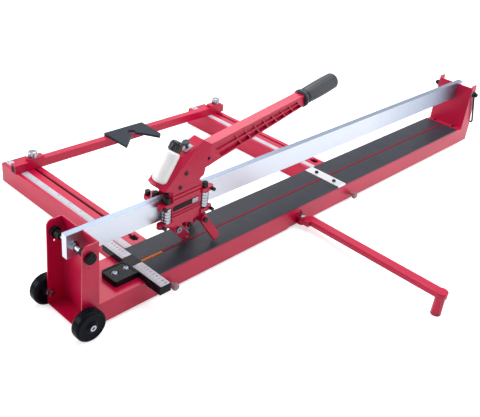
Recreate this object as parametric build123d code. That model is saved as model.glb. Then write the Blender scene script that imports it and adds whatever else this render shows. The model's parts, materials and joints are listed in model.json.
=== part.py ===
"""Manual tile cutter: a polished rail over a padded base, with a lever carriage on rollers, two rear
arms with a fence, a front support arm and transport wheels.

Sizes are in millimetres. X runs along the rail with the wheels at the negative end, Y runs to the rear,
Z is up, and the ground is at zero.
"""
import os
from math import cos, radians, sin

from build123d import *

os.makedirs("parts", exist_ok=True)

# Fits
RUN = 0.05  # radial room of a pin in its hole
GAP = 0.3  # room between faces that slide or turn past each other
ROOM = 0.5  # room beside a piece laid next to another

# Base
BASE_LENGTH = 1655.0
BASE_WIDTH = 126.0
SKIRT_HEIGHT = 54.0
SHEET = 3.0
FOOT_HEIGHT = 7.0
FOOT_RADIUS = 14.0
CROSSBAR_WIDTH = 40.0
FOOT_SPREAD = 30.0  # end feet, either side of the middle
END_FOOT_INSET = 48.0

# Brackets and rail
LEFT_DEPTH = 44.5
LEFT_CORNER = 14.0
LEFT_TAPER = 5.0  # the flanges narrow by this towards the top
LEFT_BOLT_INSET = 21.5
RIGHT_DEPTH = 58.0
RIGHT_EAR_DEPTH = 27.5
RIGHT_EAR_RISE = 2.5
RIGHT_WEB_DROP = 5.0
RIGHT_TOE = 27.0
RIGHT_BOLT_INSET = 14.0
RAIL_INSET = 5.5  # at the left end of the base
RAIL_END_INSET = 29.5  # at the right end of the base
RAIL_THICK = 16.0
RAIL_HEIGHT = 57.0
RAIL_CLEAR = 99.0  # under the rail, above the base top
BOLT_RADIUS = 5.0
CAP_RADIUS = 13.0
CAP_HEIGHT = 8.0
END_CAP_RADIUS = 7.0
NUT_RADIUS = 9.0
NUT_HEIGHT = 7.0
WASHER_RADIUS = 11.0
WASHER_HEIGHT = 2.0
SPY_HOLE_RADIUS = 2.5
SPY_HOLE_DROP = 23.5

# Transport
WHEEL_RADIUS = 36.5
WHEEL_WIDTH = 25.0
WHEEL_EDGE = 6.0
AXLE_INSET = 7.5
AXLE_COLLAR = 1.5
AXLE_HEAD = 4.0
BAIL_RADIUS = 3.2
BAIL_BEND = 10.0
BAIL_EYE_THICK = 7.0
BAIL_LENGTH = 125.0
BAIL_LEAN = 23.0
BAIL_EYE = 10.0

# Pads and ridge
PAD_THICK = 4.0
PAD_INSET = 1.0
PAD_START = 128.0  # from the left bracket
RIDGE_WIDTH = 6.0
RIDGE_HEIGHT = 5.5
INSERT_START = 161.0  # from the left bracket
INSERT_LENGTH = 62.0
JOINT_X = 63.0
JOINT_WIDTH = 34.0
JOINT_HEIGHT = 5.0
JOINT_SCREW_Y = 32.0
SCREW_RADIUS = 3.0
SCREW_HEAD = 5.5
SCREW_HEAD_HEIGHT = 3.5
SCREW_LENGTH = 12.0

# Gauge
GAUGE_START = 59.0  # from the left bracket
GAUGE_BLOCK = (62.0, 54.0, 15.0)
GAUGE_BLOCK_Y = -13.0
GAUGE_CORNER = 6.0
GAUGE_RIM = 4.0
GAUGE_RIM_DEPTH = 1.5
GAUGE_RULER_WIDTH = 31.0
GAUGE_RULER_FRONT = -114.0
GAUGE_RULER_REAR = 92.0
GAUGE_RULER_LIFT = 0.5
GAUGE_HOOK = 6.0  # of the ruler end, below the base top
GAUGE_SCREW_Y = -9.0
GAUGE_SCREW_START = 21.0
GAUGE_SCREW_SPREAD = 30.5
GAUGE_SCREW_HEAD = 8.0
GAUGE_WELL_RADIUS = 9.0
SCALE_MARGIN = 2.0
SCALE_THICK = 0.8
FRONT_SCALE_END = -16.0
REAR_SCALE_START = 21.0

# Rear arms
ARM_START = 161.0  # from the left bracket
ARM_SPACING = 699.5
ARM_WIDTH = 75.0
ARM_LENGTH = 540.0
ARM_TOP = 57.0
ARM_BOTTOM = 2.0
ARM_WALL = 3.0
ARM_TOP_WALL = 4.0
ARM_SLOT_OFFSET = 55.0
ARM_SLOT_WIDTH = 8.0
ARM_SLOT_START = 22.0
ARM_SLOT_END = 22.0
ARM_SCALE_OFFSET = 20.0
ARM_SCALE_WIDTH = 20.0
ARM_SCALE_DEPTH = 1.2
ARM_PLUG = 18.0
ARM_PLUG_FACE = 3.0
LOCK_Z = 21.0
LOCK_RADIUS = 4.0
LOCK_STANDOFF = 12.0
LOCK_KNOB_RADIUS = 9.0
LOCK_KNOB_LENGTH = 9.0

# Fence
FENCE_OVERHANG_LEFT = 6.0  # past the left arm
FENCE_OVERHANG_RIGHT = 9.5  # past the right arm
FENCE_INSET = 80.0  # from the arm ends to the fence front
FENCE_DEPTH = 22.0
FENCE_HEIGHT = 24.7
FENCE_WALL = 2.0
FENCE_CAP = 10.0
FENCE_CAP_INSET = 1.5
CLAMP_PLATE = (46.0, 8.0)
CLAMP_PLATE_SHIFT = 7.0  # towards the fence middle
CLAMP_STUD = 3.5
CLAMP_KNOB_RADIUS = 12.5
CLAMP_KNOB_HEIGHT = 17.0
T_NUT = (18.0, 8.0)
STOP_THICK = 7.7
STOP_FLANGE = 5.0
STOP_FLANGE_DROP = 18.0
STOP_START = 305.0  # from the left arm's left edge to the stop
STOP_SCREW_OFFSET = 67.0
STOP_SCREW_RADIUS = 3.0
STOP_KNOB_RADIUS = 8.0
STOP_KNOB_LENGTH = 12.0
STOP_RELIEF = (74.0, -10.0, 12.0)
STOP_OUTLINE = ((0, -13), (1, -81), (51, -37), (74, -16), (97, -37), (125, -82), (139, -69), (143, 27),
                (0, 27))

# Front support arm
SUPPORT_X = -122.0
SUPPORT_STANDOFF = 9.0
SUPPORT_ROOT = (17.0, -13.0)  # from the pivot to the tube end
SUPPORT_TIP = (-157.0, -514.0)
SUPPORT_WIDTH = 30.0
SUPPORT_TALL = 16.0
SUPPORT_CORNER = 4.0
SUPPORT_WALL = 2.0
SUPPORT_ROOT_Z = 23.5
SUPPORT_POST = 12.5
SUPPORT_FOOT = 3.0
CLEVIS_LUG = 3.0
CLEVIS_RADIUS = 11.0
CLEVIS_OPEN = 16.0
SUPPORT_BOLT = 5.0
ARCH_X = -138.0
ARCH_RADIUS = 30.0
ARCH_TOP = 53.0
ARCH_LAP = 4.0  # of the plate behind the arch

# Carriage
CARRIAGE_INSET = 270.0  # from the left bracket
PLATE_LENGTH = 88.0
PLATE_ROOM = 1.5  # between plate and rail face
PLATE_THICK = 14.5
PLATE_DROP = 38.0  # below the rail
PLATE_RISE = 17.0  # above the rail
PLATE_GROOVE = 2.0
PLATE_GROOVE_WIDTH = 3.5
PLATE_GROOVES = (-11.0, -21.0, -57.5, -65.0)  # from the plate top
CHEEK_TILT = 2.3  # of grooves and label, rising to the right
PLATE_LUG = 20.0  # height of the lugs under the plate
PLATE_LUG_RADIUS = 11.0
ROLLER_SPREAD = 57.0
ROLLER_RADIUS = 11.0
ROLLER_ROOM = 0.1
ROLLER_HUB = 6.5
BEARINGS = 5
BEARING_PITCH = 7.6
EAR_THICK = 10.0
EAR_RADIUS = 9.0
EAR_REACH = 16.0  # of the round end of a front ear, beyond the roller axis
REAR_EAR_REACH = 9.0
RIGHT_RISE = 5.0  # of the right rollers above the left ones
PIN_RADIUS = 4.0
PIN_HEAD = 6.5
ROLLER_HEAD = 8.5
ROLLER_HEAD_HEIGHT = 13.0
PIN_NUT_HEIGHT = 5.0
TIP_SCREW_RADIUS = 3.0
TIP_SCREW_HEAD = 4.5
TIP_SCREW_DEPTH = 15.0  # of the shank in the ear
TIP_SCREW_STICK = 9.0  # of the head, out of the ear
REAR_EAR = 26.0  # length of the rear ears past the roller axis
REAR_BOLT_HEIGHT = 11.0  # of its head
LABEL_THICK = 1.2
LABEL_DROP = 36.0  # from the plate top
LABEL_HEIGHT = 13.0
LABEL_LENGTH = 76.0
SPACER_OFFSET = 4.0  # right of the carriage middle
SPACER_LENGTH = 34.0
SPACER_HEIGHT = 34.0
SIDE_BOLT_HEAD = 5.0
SIDE_BOLT_LENGTH = 9.0
SIDE_BOLTS = ((-8.0, 36.0), (-24.0, 5.0))  # from carriage middle and plate top
HOLDER_PIVOT = (-22.0, 7.0)  # from carriage middle and plate bottom
HOLDER_AXLE = (23.0, -40.0)
HOLDER_RADIUS = 10.0
HOLDER_SIDE_ROOM = 0.8
WHEEL_CUTTER_RADIUS = 14.0
WHEEL_CUTTER_THICK = 3.0
WHEEL_CUTTER_EDGE = 2.0
WHEEL_AXLE_RADIUS = 2.5
BREAKER_PIVOT = (53.0, 10.0)
BREAKER_WIDTH = 20.0
BREAKER_THICK = 9.0
BREAKER_SPLAY = 13.0
BREAKER_DROP = 67.0
BREAKER_LEAN = 31.0

# Lever housing, from carriage middle and plate top
HOUSING_HALF = 24.0
HOUSING_OUTLINE = ((-44, 0), (-70, 8), (-79, 22), (-93, 44), (-61, 79), (-11, 74), (31, 90), (49, 98),
                   (70, 84), (62, 60), (51, 35), (48, 17), (34, 8), (34, 0))
HOUSING_MOUTH = (-64.0, 11.0)  # lower front end of the slanted bottle opening
HOUSING_LIP = (-74.0, 24.0)  # on the rear half of the bottle opening
HOUSING_SHOULDER = (-21.0, 52.0)  # lower end of the front top chamfer
HOUSING_SHOULDER_SLOPE = 26.0
HOUSING_FACET_SLOPE = 4.7  # of the lower edge of the facet under that chamfer
HOUSING_FACET_LEAN = 14.0
CHAMFER_LEAN = 37.0  # of the top chamfers, from upright
REAR_SHOULDER = (-18.0, 66.0)
REAR_SHOULDER_SLOPE = 20.0
BOTTLE_FOOT = (-68.5, 23.0)
BOTTLE_LEAN = 32.0
BOTTLE_RADIUS = 18.0
BOTTLE_BODY = 76.0
BOTTLE_EDGE = 9.0
BOTTLE_NECK = 10.0
BOTTLE_NECK_HEIGHT = 10.0
BOTTLE_CAP_RADIUS = 14.5
BOTTLE_CAP_HEIGHT = 23.0
BOTTLE_CAP_EDGE = 8.0
ADJUSTER_AT = (12.0, 82.8)
ADJUSTER_LEAN = 20.9
ADJUSTER_PLATE = (24.0, 17.0, 2.0)
ADJUSTER_STEM = 4.0
ADJUSTER_STEM_RISE = 12.5
ADJUSTER_KNOB = 9.5
ADJUSTER_KNOB_HEIGHT = 4.0

# Lever
LEVER_PIVOT = (61.0, 52.0)
LEVER_ANGLE = 10.5
LEVER_TRAVEL = 48.0
LEVER_HALF = 14.0
LEVER_LENGTH = 341.0
LEVER_ROOT = 53.0
LEVER_TIP = 29.0
LEVER_POCKET = 4.0
LEVER_RECESS = 7.0
LEVER_POCKET_START = 20.0
LEVER_RIBS = 7
LEVER_FIRST_RIB = 104.0
LEVER_RIB = 4.0
LEVER_RIB_LEAN = 28.0  # along the lever, from the top of a rib to its foot
LEVER_EAR_THICK = 5.7
LEVER_EAR_RADIUS = 21.0
LEVER_PIN = 6.5
COLLAR_RADIUS = 23.5
COLLAR_LENGTH = 12.0
GRIP_RADIUS = 22.2
GRIP_EDGE = 7.0
GRIP_LENGTH = 123.0
TANG_RADIUS = 8.0

# Places worked out from the sizes above
HALF_WIDTH = BASE_WIDTH / 2
INNER_HALF = HALF_WIDTH - SHEET
BASE_LEFT = -BASE_LENGTH / 2
BASE_RIGHT = BASE_LENGTH / 2
BASE_BOTTOM = FOOT_HEIGHT
BASE_TOP = BASE_BOTTOM + SKIRT_HEIGHT
PAD_TOP = BASE_TOP + PAD_THICK
LEFT_WEB = BASE_LEFT + LEFT_DEPTH
RIGHT_WEB = BASE_RIGHT - RIGHT_DEPTH
PAD_LEFT = LEFT_WEB + PAD_START
INSERT_LEFT = LEFT_WEB + INSERT_START
GAUGE_LEFT = LEFT_WEB + GAUGE_START
CARRIAGE_X = LEFT_WEB + CARRIAGE_INSET
ARM_LEFT_EDGES = (LEFT_WEB + ARM_START, LEFT_WEB + ARM_START + ARM_SPACING)
RIGHT_TOE_LEFT = RIGHT_WEB - RIGHT_TOE
RAIL_LEFT = BASE_LEFT + RAIL_INSET
RAIL_RIGHT = BASE_RIGHT - RAIL_END_INSET
RAIL_BOTTOM = BASE_TOP + RAIL_CLEAR
RAIL_TOP = RAIL_BOTTOM + RAIL_HEIGHT
RAIL_MIDDLE = RAIL_BOTTOM + RAIL_HEIGHT / 2
RAIL_HALF = RAIL_THICK / 2
LEFT_BOLT_X = BASE_LEFT + LEFT_BOLT_INSET
RIGHT_BOLT_X = RIGHT_WEB + RIGHT_BOLT_INSET
AXLE_X = BASE_LEFT + AXLE_INSET
JOINT_LEFT = JOINT_X - JOINT_WIDTH / 2
JOINT_RIGHT = JOINT_X + JOINT_WIDTH / 2
ARM_CENTRES = [edge + ARM_WIDTH / 2 for edge in ARM_LEFT_EDGES]
SLOT_XS = [edge + ARM_SLOT_OFFSET for edge in ARM_LEFT_EDGES]
ARM_FRONT = HALF_WIDTH
ARM_REAR = ARM_FRONT + ARM_LENGTH
FENCE_FRONT = ARM_REAR - FENCE_INSET
FENCE_LEFT = ARM_LEFT_EDGES[0] - FENCE_OVERHANG_LEFT
FENCE_RIGHT = ARM_LEFT_EDGES[1] + ARM_WIDTH + FENCE_OVERHANG_RIGHT
FENCE_BOTTOM = ARM_TOP + GAP
FENCE_TOP = FENCE_BOTTOM + FENCE_HEIGHT
FENCE_REAR = FENCE_FRONT + FENCE_DEPTH
FENCE_MIDDLE = FENCE_FRONT + FENCE_DEPTH / 2
PLATE_INNER = RAIL_HALF + PLATE_ROOM
PLATE_OUTER = PLATE_INNER + PLATE_THICK
PLATE_BOTTOM = RAIL_BOTTOM - PLATE_DROP
PLATE_TOP = RAIL_TOP + PLATE_RISE
PLATE_LEFT = CARRIAGE_X - PLATE_LENGTH / 2
PLATE_RIGHT = CARRIAGE_X + PLATE_LENGTH / 2
ROLLER_Y = RAIL_HALF + ROLLER_RADIUS + ROLLER_ROOM
ROLLER_BOTTOM = RAIL_BOTTOM
ROLLER_TOP = ROLLER_BOTTOM + BEARINGS * BEARING_PITCH
SCREW_PLACES = [(JOINT_X, JOINT_SCREW_Y), (JOINT_X, -JOINT_SCREW_Y)]
TOE_SCREW_PLACES = [(RIGHT_WEB - RIGHT_TOE / 2, side * HALF_WIDTH * 0.56) for side in (-1, 1)]


def block(x0, x1, y0, y1, z0, z1):
    """A box given by its six faces."""
    return Pos((x0 + x1) / 2, (y0 + y1) / 2, (z0 + z1) / 2) * Box(x1 - x0, y1 - y0, z1 - z0)


def rod_y(y0, y1, x, z, radius):
    """A round bar along Y."""
    return Pos(x, (y0 + y1) / 2, z) * Rot(90, 0, 0) * Cylinder(radius, abs(y1 - y0))


def rod_z(z0, z1, x, y, radius):
    """An upright round bar."""
    return Pos(x, y, (z0 + z1) / 2) * Cylinder(radius, abs(z1 - z0))


def hex_y(y0, y1, x, z, radius):
    """A hexagonal bar along Y."""
    low = min(y0, y1)
    outline = Plane(origin=(x, low, z), z_dir=(0, 1, 0)) * RegularPolygon(radius, 6)
    return extrude(outline, amount=abs(y1 - y0))


def hex_z(z0, z1, x, y, radius):
    """An upright hexagonal bar."""
    return extrude(Pos(x, y, z0) * RegularPolygon(radius, 6), amount=z1 - z0)


def prism_x(points, x0, x1):
    """An outline in Y and Z, drawn out along X."""
    outline = Polyline(*[(x0, y, z) for y, z in points], close=True)
    return extrude(make_face(outline), amount=x1 - x0, dir=(1, 0, 0))


def prism_y(points, y0, y1):
    """An outline in X and Z, drawn out along Y."""
    outline = Polyline(*[(x, y0, z) for x, z in points], close=True)
    return extrude(make_face(outline), amount=y1 - y0, dir=(0, 1, 0))


def prism_z(points, z0, z1):
    """An outline in X and Y, drawn out upright."""
    outline = Polyline(*[(x, y, z0) for x, y in points], close=True)
    return extrude(make_face(outline), amount=z1 - z0, dir=(0, 0, 1))


def to_rear(shape):
    """The same piece on the other side of the rail."""
    return mirror(shape, about=Plane.XZ)


def top_screw(x, y, seat, radius=SCREW_HEAD):
    """A round-headed screw standing on a face, with a hexagon socket."""
    head = rod_z(seat, seat + SCREW_HEAD_HEIGHT, x, y, radius)
    head = fillet(head.edges().group_by(Axis.Z)[-1], SCREW_HEAD_HEIGHT * 0.45)
    socket = hex_z(seat + SCREW_HEAD_HEIGHT / 2, seat + SCREW_HEAD_HEIGHT + 1, x, y, radius * 0.5)
    return head - socket + rod_z(seat - SCREW_LENGTH, seat, x, y, SCREW_RADIUS)


def screw_hole(x, y, seat):
    """Room for the shank of a top screw."""
    return rod_z(seat - SCREW_LENGTH - 1, seat + 1, x, y, SCREW_RADIUS + RUN)


def save(node, *solids):
    """Write one node; several solids stay separate in it."""
    shape = solids[0] if len(solids) == 1 else Compound(children=list(solids))
    export_step(shape, f"parts/{node}.step")


GAUGE_RIGHT = GAUGE_LEFT + GAUGE_BLOCK[0]
GAUGE_TOP = BASE_TOP + GAUGE_BLOCK[2]
GAUGE_SCREW_PLACES = [(GAUGE_LEFT + GAUGE_SCREW_START + offset, GAUGE_SCREW_Y)
                      for offset in (0, GAUGE_SCREW_SPREAD)]
GAUGE_SCREW_SEAT = GAUGE_TOP - GAUGE_RIM_DEPTH - SCREW_HEAD_HEIGHT


def base_channel():
    """Folded channel, open below, with holes for the lock screws and an arch at the support arm."""
    body = block(LEFT_WEB, BASE_RIGHT, -HALF_WIDTH, HALF_WIDTH, BASE_BOTTOM, BASE_TOP)
    body -= block(LEFT_WEB - 1, BASE_RIGHT + 1, -INNER_HALF, INNER_HALF, BASE_BOTTOM - 1, BASE_TOP - SHEET)
    for x in ARM_CENTRES:
        body -= rod_y(-HALF_WIDTH - 1, HALF_WIDTH + 1, x, LOCK_Z, LOCK_RADIUS + RUN)
    arch_middle = ARCH_TOP - ARCH_RADIUS
    body -= rod_y(-HALF_WIDTH - 1, -INNER_HALF + 1, ARCH_X, arch_middle, ARCH_RADIUS)
    body -= block(ARCH_X - ARCH_RADIUS, ARCH_X + ARCH_RADIUS, -HALF_WIDTH - 1, -INNER_HALF + 1,
                  BASE_BOTTOM - 1, arch_middle)
    for x, y in SCREW_PLACES + TOE_SCREW_PLACES + GAUGE_SCREW_PLACES:
        body -= rod_z(BASE_TOP - SHEET - 1, BASE_TOP + 1, x, y, SCREW_RADIUS + RUN)
    return body


def foot_places():
    """Foot middles on the ground: one under the middle, two at the right end."""
    end = BASE_RIGHT - END_FOOT_INSET
    return [(0, 0), (end, -FOOT_SPREAD), (end, FOOT_SPREAD)]


def crossbars():
    """Flat bars between the skirts that carry the feet."""
    middles = sorted({x for x, _ in foot_places()})
    return [block(x - CROSSBAR_WIDTH / 2, x + CROSSBAR_WIDTH / 2, -INNER_HALF, INNER_HALF,
                  BASE_BOTTOM, BASE_BOTTOM + SHEET) for x in middles]


def pad(x0, x1):
    """Front pad between two ends, beside the ridge."""
    return block(x0, x1, -HALF_WIDTH + PAD_INSET, -RIDGE_WIDTH / 2 - ROOM, BASE_TOP, PAD_TOP)


def ridge(x0, x1):
    """Length of breaking ridge with a peaked top."""
    half = RIDGE_WIDTH / 2
    peak = BASE_TOP + RIDGE_HEIGHT
    points = [(-half, BASE_TOP), (half, BASE_TOP), (half, peak - half / 2), (half / 3, peak),
              (-half / 3, peak), (-half, peak - half / 2)]
    return prism_x(points, x0, x1)


def joint_plate():
    """Plate across the base where the pads meet."""
    half = HALF_WIDTH - PAD_INSET
    body = block(JOINT_LEFT, JOINT_RIGHT, -half, half, BASE_TOP, BASE_TOP + JOINT_HEIGHT)
    for x, y in SCREW_PLACES:
        body -= screw_hole(x, y, BASE_TOP + JOINT_HEIGHT)
    return body


def rail_notch(x0, x1, top):
    """Opening in a bracket web around the rail."""
    half = RAIL_HALF + RUN
    return block(x0 - 1, x1 + 1, -half, half, RAIL_BOTTOM, top + 1)


def left_bracket():
    """Folded bracket open to the left, with a floor, holding the rail end and the wheels."""
    top = RAIL_TOP + 1
    web = block(LEFT_WEB - SHEET, LEFT_WEB, -HALF_WIDTH, HALF_WIDTH, BASE_BOTTOM, top)
    web -= rail_notch(LEFT_WEB - SHEET, LEFT_WEB, top)
    outline = [(BASE_LEFT, BASE_BOTTOM), (LEFT_WEB, BASE_BOTTOM), (LEFT_WEB, top),
               (BASE_LEFT + LEFT_TAPER, top)]
    flange = prism_y(outline, -HALF_WIDTH, -INNER_HALF)
    corner = flange.edges().filter_by(Axis.Y).sort_by(lambda edge: edge.center().Z - edge.center().X)[-1]
    flange = fillet(corner, LEFT_CORNER)
    floor = block(BASE_LEFT, LEFT_WEB, -INNER_HALF, INNER_HALF, BASE_BOTTOM, BASE_BOTTOM + SHEET)
    body = web + flange + to_rear(flange) + floor
    body -= rod_y(-HALF_WIDTH - 1, HALF_WIDTH + 1, LEFT_BOLT_X, RAIL_MIDDLE, BOLT_RADIUS + RUN)
    body -= rod_y(-HALF_WIDTH - 1, HALF_WIDTH + 1, AXLE_X, WHEEL_RADIUS, BOLT_RADIUS + RUN)
    body -= rod_y(-HALF_WIDTH - 1, HALF_WIDTH + 1, LEFT_BOLT_X, RAIL_MIDDLE - SPY_HOLE_DROP, SPY_HOLE_RADIUS)
    return body


def right_bracket():
    """Folded bracket on the base top with tapered flanges and a toe under two screws."""
    web_top = RAIL_TOP - RIGHT_WEB_DROP
    ear_top = RAIL_TOP + RIGHT_EAR_RISE
    web = block(RIGHT_WEB, RIGHT_WEB + SHEET, -HALF_WIDTH, HALF_WIDTH, BASE_TOP, web_top)
    web -= rail_notch(RIGHT_WEB, RIGHT_WEB + SHEET, web_top)
    outline = [(RIGHT_WEB, BASE_TOP), (BASE_RIGHT, BASE_TOP), (RIGHT_WEB + RIGHT_EAR_DEPTH, ear_top),
               (RIGHT_WEB, ear_top)]
    flange = prism_y(outline, -HALF_WIDTH, -INNER_HALF)
    toe = block(RIGHT_TOE_LEFT, RIGHT_WEB, -INNER_HALF, INNER_HALF, BASE_TOP, BASE_TOP + SHEET)
    body = web + flange + to_rear(flange) + toe
    body -= rod_y(-HALF_WIDTH - 1, HALF_WIDTH + 1, RIGHT_BOLT_X, RAIL_MIDDLE, BOLT_RADIUS + RUN)
    for x, y in TOE_SCREW_PLACES:
        body -= screw_hole(x, y, BASE_TOP + SHEET)
    return body


def rail():
    """Polished bar with a bolt hole at each end."""
    body = block(RAIL_LEFT, RAIL_RIGHT, -RAIL_HALF, RAIL_HALF, RAIL_BOTTOM, RAIL_TOP)
    for x in (LEFT_BOLT_X, RIGHT_BOLT_X):
        body -= rod_y(-RAIL_HALF - 1, RAIL_HALF + 1, x, RAIL_MIDDLE, BOLT_RADIUS + RUN)
    return body


EYE_INNER = HALF_WIDTH + WASHER_HEIGHT + GAP
EYE_OUTER = EYE_INNER + BAIL_EYE_THICK
LEFT_BOLT_END = HALF_WIDTH + CAP_HEIGHT * 0.7
RIGHT_BOLT_END = EYE_OUTER + GAP + CAP_HEIGHT * 0.7


def rail_bolts():
    """Through bolts that hold the rail in the brackets."""
    return [rod_y(-LEFT_BOLT_END, LEFT_BOLT_END, LEFT_BOLT_X, RAIL_MIDDLE, BOLT_RADIUS),
            rod_y(-RIGHT_BOLT_END, RIGHT_BOLT_END, RIGHT_BOLT_X, RAIL_MIDDLE, BOLT_RADIUS)]


def rail_bolt_caps():
    """Domed caps pressed on the bolt ends, and collars inside the left flanges."""
    left = rod_y(-HALF_WIDTH - CAP_HEIGHT, -HALF_WIDTH, LEFT_BOLT_X, RAIL_MIDDLE, CAP_RADIUS)
    left = fillet(left.edges().group_by(Axis.Y)[0], CAP_HEIGHT * 0.3)
    left -= rod_y(-LEFT_BOLT_END, -HALF_WIDTH + 1, LEFT_BOLT_X, RAIL_MIDDLE, BOLT_RADIUS)
    collar = rod_y(-INNER_HALF, -INNER_HALF + CAP_HEIGHT, LEFT_BOLT_X, RAIL_MIDDLE, CAP_RADIUS - 1)
    collar -= rod_y(-INNER_HALF - 1, -INNER_HALF + CAP_HEIGHT + 1, LEFT_BOLT_X, RAIL_MIDDLE, BOLT_RADIUS)
    start = EYE_OUTER + GAP
    right = rod_y(-start - CAP_HEIGHT, -start, RIGHT_BOLT_X, RAIL_MIDDLE, END_CAP_RADIUS)
    right = fillet(right.edges().group_by(Axis.Y)[0], CAP_HEIGHT * 0.3)
    right -= rod_y(-RIGHT_BOLT_END, -start + 1, RIGHT_BOLT_X, RAIL_MIDDLE, BOLT_RADIUS)
    fronts = [left, collar, right]
    return fronts + [to_rear(piece) for piece in fronts]


def rail_nuts():
    """Flanged nuts against the rail faces, and washers on the right flanges."""
    fronts = []
    for x in (LEFT_BOLT_X, RIGHT_BOLT_X):
        nut = hex_y(-RAIL_HALF - WASHER_HEIGHT - NUT_HEIGHT, -RAIL_HALF, x, RAIL_MIDDLE, NUT_RADIUS)
        nut += rod_y(-RAIL_HALF - WASHER_HEIGHT, -RAIL_HALF, x, RAIL_MIDDLE, WASHER_RADIUS)
        fronts.append(nut - rod_y(-HALF_WIDTH, 0, x, RAIL_MIDDLE, BOLT_RADIUS))
    washer = rod_y(-HALF_WIDTH - WASHER_HEIGHT, -HALF_WIDTH, RIGHT_BOLT_X, RAIL_MIDDLE, WASHER_RADIUS)
    bore = rod_y(-HALF_WIDTH - WASHER_HEIGHT - 1, -HALF_WIDTH + 1, RIGHT_BOLT_X, RAIL_MIDDLE, BOLT_RADIUS)
    fronts.append(washer - bore)
    return fronts + [to_rear(piece) for piece in fronts]


WHEEL_INNER = HALF_WIDTH + AXLE_COLLAR + GAP
WHEEL_OUTER = WHEEL_INNER + WHEEL_WIDTH


def wheel():
    """Front transport wheel with rounded tread edges and a sunk hub face."""
    body = rod_y(-WHEEL_OUTER, -WHEEL_INNER, AXLE_X, WHEEL_RADIUS, WHEEL_RADIUS)
    body = fillet(body.edges().filter_by(GeomType.CIRCLE), WHEEL_EDGE)
    return body - rod_y(-WHEEL_OUTER - 1, -WHEEL_INNER + 1, AXLE_X, WHEEL_RADIUS, BOLT_RADIUS + RUN)


def wheel_bolt():
    """Front axle bolt: ring head, collar and a nut inside the bracket."""
    head_inner = -WHEEL_OUTER - GAP
    head_outer = head_inner - AXLE_HEAD
    nut_end = -INNER_HALF + NUT_HEIGHT
    body = rod_y(head_outer, nut_end, AXLE_X, WHEEL_RADIUS, BOLT_RADIUS)
    body += rod_y(head_outer, head_inner, AXLE_X, WHEEL_RADIUS, NUT_RADIUS - 2)
    body += rod_y(-HALF_WIDTH - AXLE_COLLAR, -HALF_WIDTH, AXLE_X, WHEEL_RADIUS, NUT_RADIUS)
    body += hex_y(-INNER_HALF, nut_end, AXLE_X, WHEEL_RADIUS, NUT_RADIUS - 1)
    return body - rod_y(head_outer - 1, head_outer + 3, AXLE_X, WHEEL_RADIUS, BOLT_RADIUS - 1.5)


def pull_bail():
    """Wire bail: an eye on each end of the right rail bolt, two side wires and a cross wire."""
    lean = radians(BAIL_LEAN)
    side_y = (EYE_INNER + EYE_OUTER) / 2
    root_x = RIGHT_BOLT_X + (BAIL_EYE - 2) * sin(lean)
    root_z = RAIL_MIDDLE - (BAIL_EYE - 2) * cos(lean)
    end_x = RIGHT_BOLT_X + BAIL_LENGTH * sin(lean)
    end_z = RAIL_MIDDLE - BAIL_LENGTH * cos(lean)
    path = FilletPolyline((root_x, -side_y, root_z), (end_x, -side_y, end_z), (end_x, side_y, end_z),
                          (root_x, side_y, root_z), radius=BAIL_BEND)
    body = sweep(Plane(origin=path @ 0, z_dir=path % 0) * Circle(BAIL_RADIUS), path=path)
    eye = rod_y(-EYE_OUTER, -EYE_INNER, RIGHT_BOLT_X, RAIL_MIDDLE, BAIL_EYE)
    eye -= rod_y(-EYE_OUTER - 1, -EYE_INNER + 1, RIGHT_BOLT_X, RAIL_MIDDLE, BOLT_RADIUS + RUN)
    return body + eye + to_rear(eye)


def gauge_block():
    """Gauge foot on the base top with a rim, a sunk face and two screw wells."""
    half = GAUGE_BLOCK[1] / 2
    body = block(GAUGE_LEFT, GAUGE_RIGHT, GAUGE_BLOCK_Y - half, GAUGE_BLOCK_Y + half, BASE_TOP, GAUGE_TOP)
    body = fillet(body.edges().filter_by(Axis.Z).group_by(Axis.X)[0], GAUGE_CORNER)
    body -= block(GAUGE_LEFT + GAUGE_RIM, GAUGE_RIGHT - GAUGE_RIM, GAUGE_BLOCK_Y - half + GAUGE_RIM,
                  GAUGE_BLOCK_Y + half - GAUGE_RIM, GAUGE_TOP - GAUGE_RIM_DEPTH, GAUGE_TOP + 1)
    for x, y in GAUGE_SCREW_PLACES:
        body -= rod_z(GAUGE_SCREW_SEAT, GAUGE_TOP + 1, x, y, GAUGE_WELL_RADIUS)
        body -= rod_z(BASE_TOP - 1, GAUGE_TOP + 1, x, y, SCREW_RADIUS + RUN)
    return body


def gauge_screw(x, y):
    """Dome screw of the gauge, long enough to reach the base sheet."""
    shank = rod_z(BASE_TOP - 2 * SHEET, GAUGE_SCREW_SEAT, x, y, SCREW_RADIUS)
    return top_screw(x, y, GAUGE_SCREW_SEAT, GAUGE_SCREW_HEAD) + shank


RULER_LEFT = GAUGE_RIGHT
RULER_RIGHT = RULER_LEFT + GAUGE_RULER_WIDTH


def gauge_ruler():
    """Cross bar of the T-shaped gauge: a lip down to the base beside the pads, a thick end in front."""
    low = PAD_TOP + GAUGE_RULER_LIFT
    lip_low = BASE_TOP + GAUGE_RULER_LIFT
    hook_low = BASE_TOP - GAUGE_HOOK
    hook_rear = -HALF_WIDTH - ROOM
    bar = block(RULER_LEFT, RULER_RIGHT, GAUGE_RULER_FRONT, GAUGE_RULER_REAR, low, GAUGE_TOP)
    bar += block(RULER_LEFT, PAD_LEFT - ROOM, GAUGE_RULER_FRONT, GAUGE_RULER_REAR, lip_low, GAUGE_TOP)
    return bar + block(RULER_LEFT, RULER_RIGHT, GAUGE_RULER_FRONT, hook_rear, hook_low, GAUGE_TOP)


def gauge_scale(y0, y1):
    """Printed strip on the ruler top."""
    left = RULER_LEFT + SCALE_MARGIN
    right = RULER_RIGHT - SCALE_MARGIN
    return block(left, right, y0, y1, GAUGE_TOP, GAUGE_TOP + SCALE_THICK)


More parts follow.
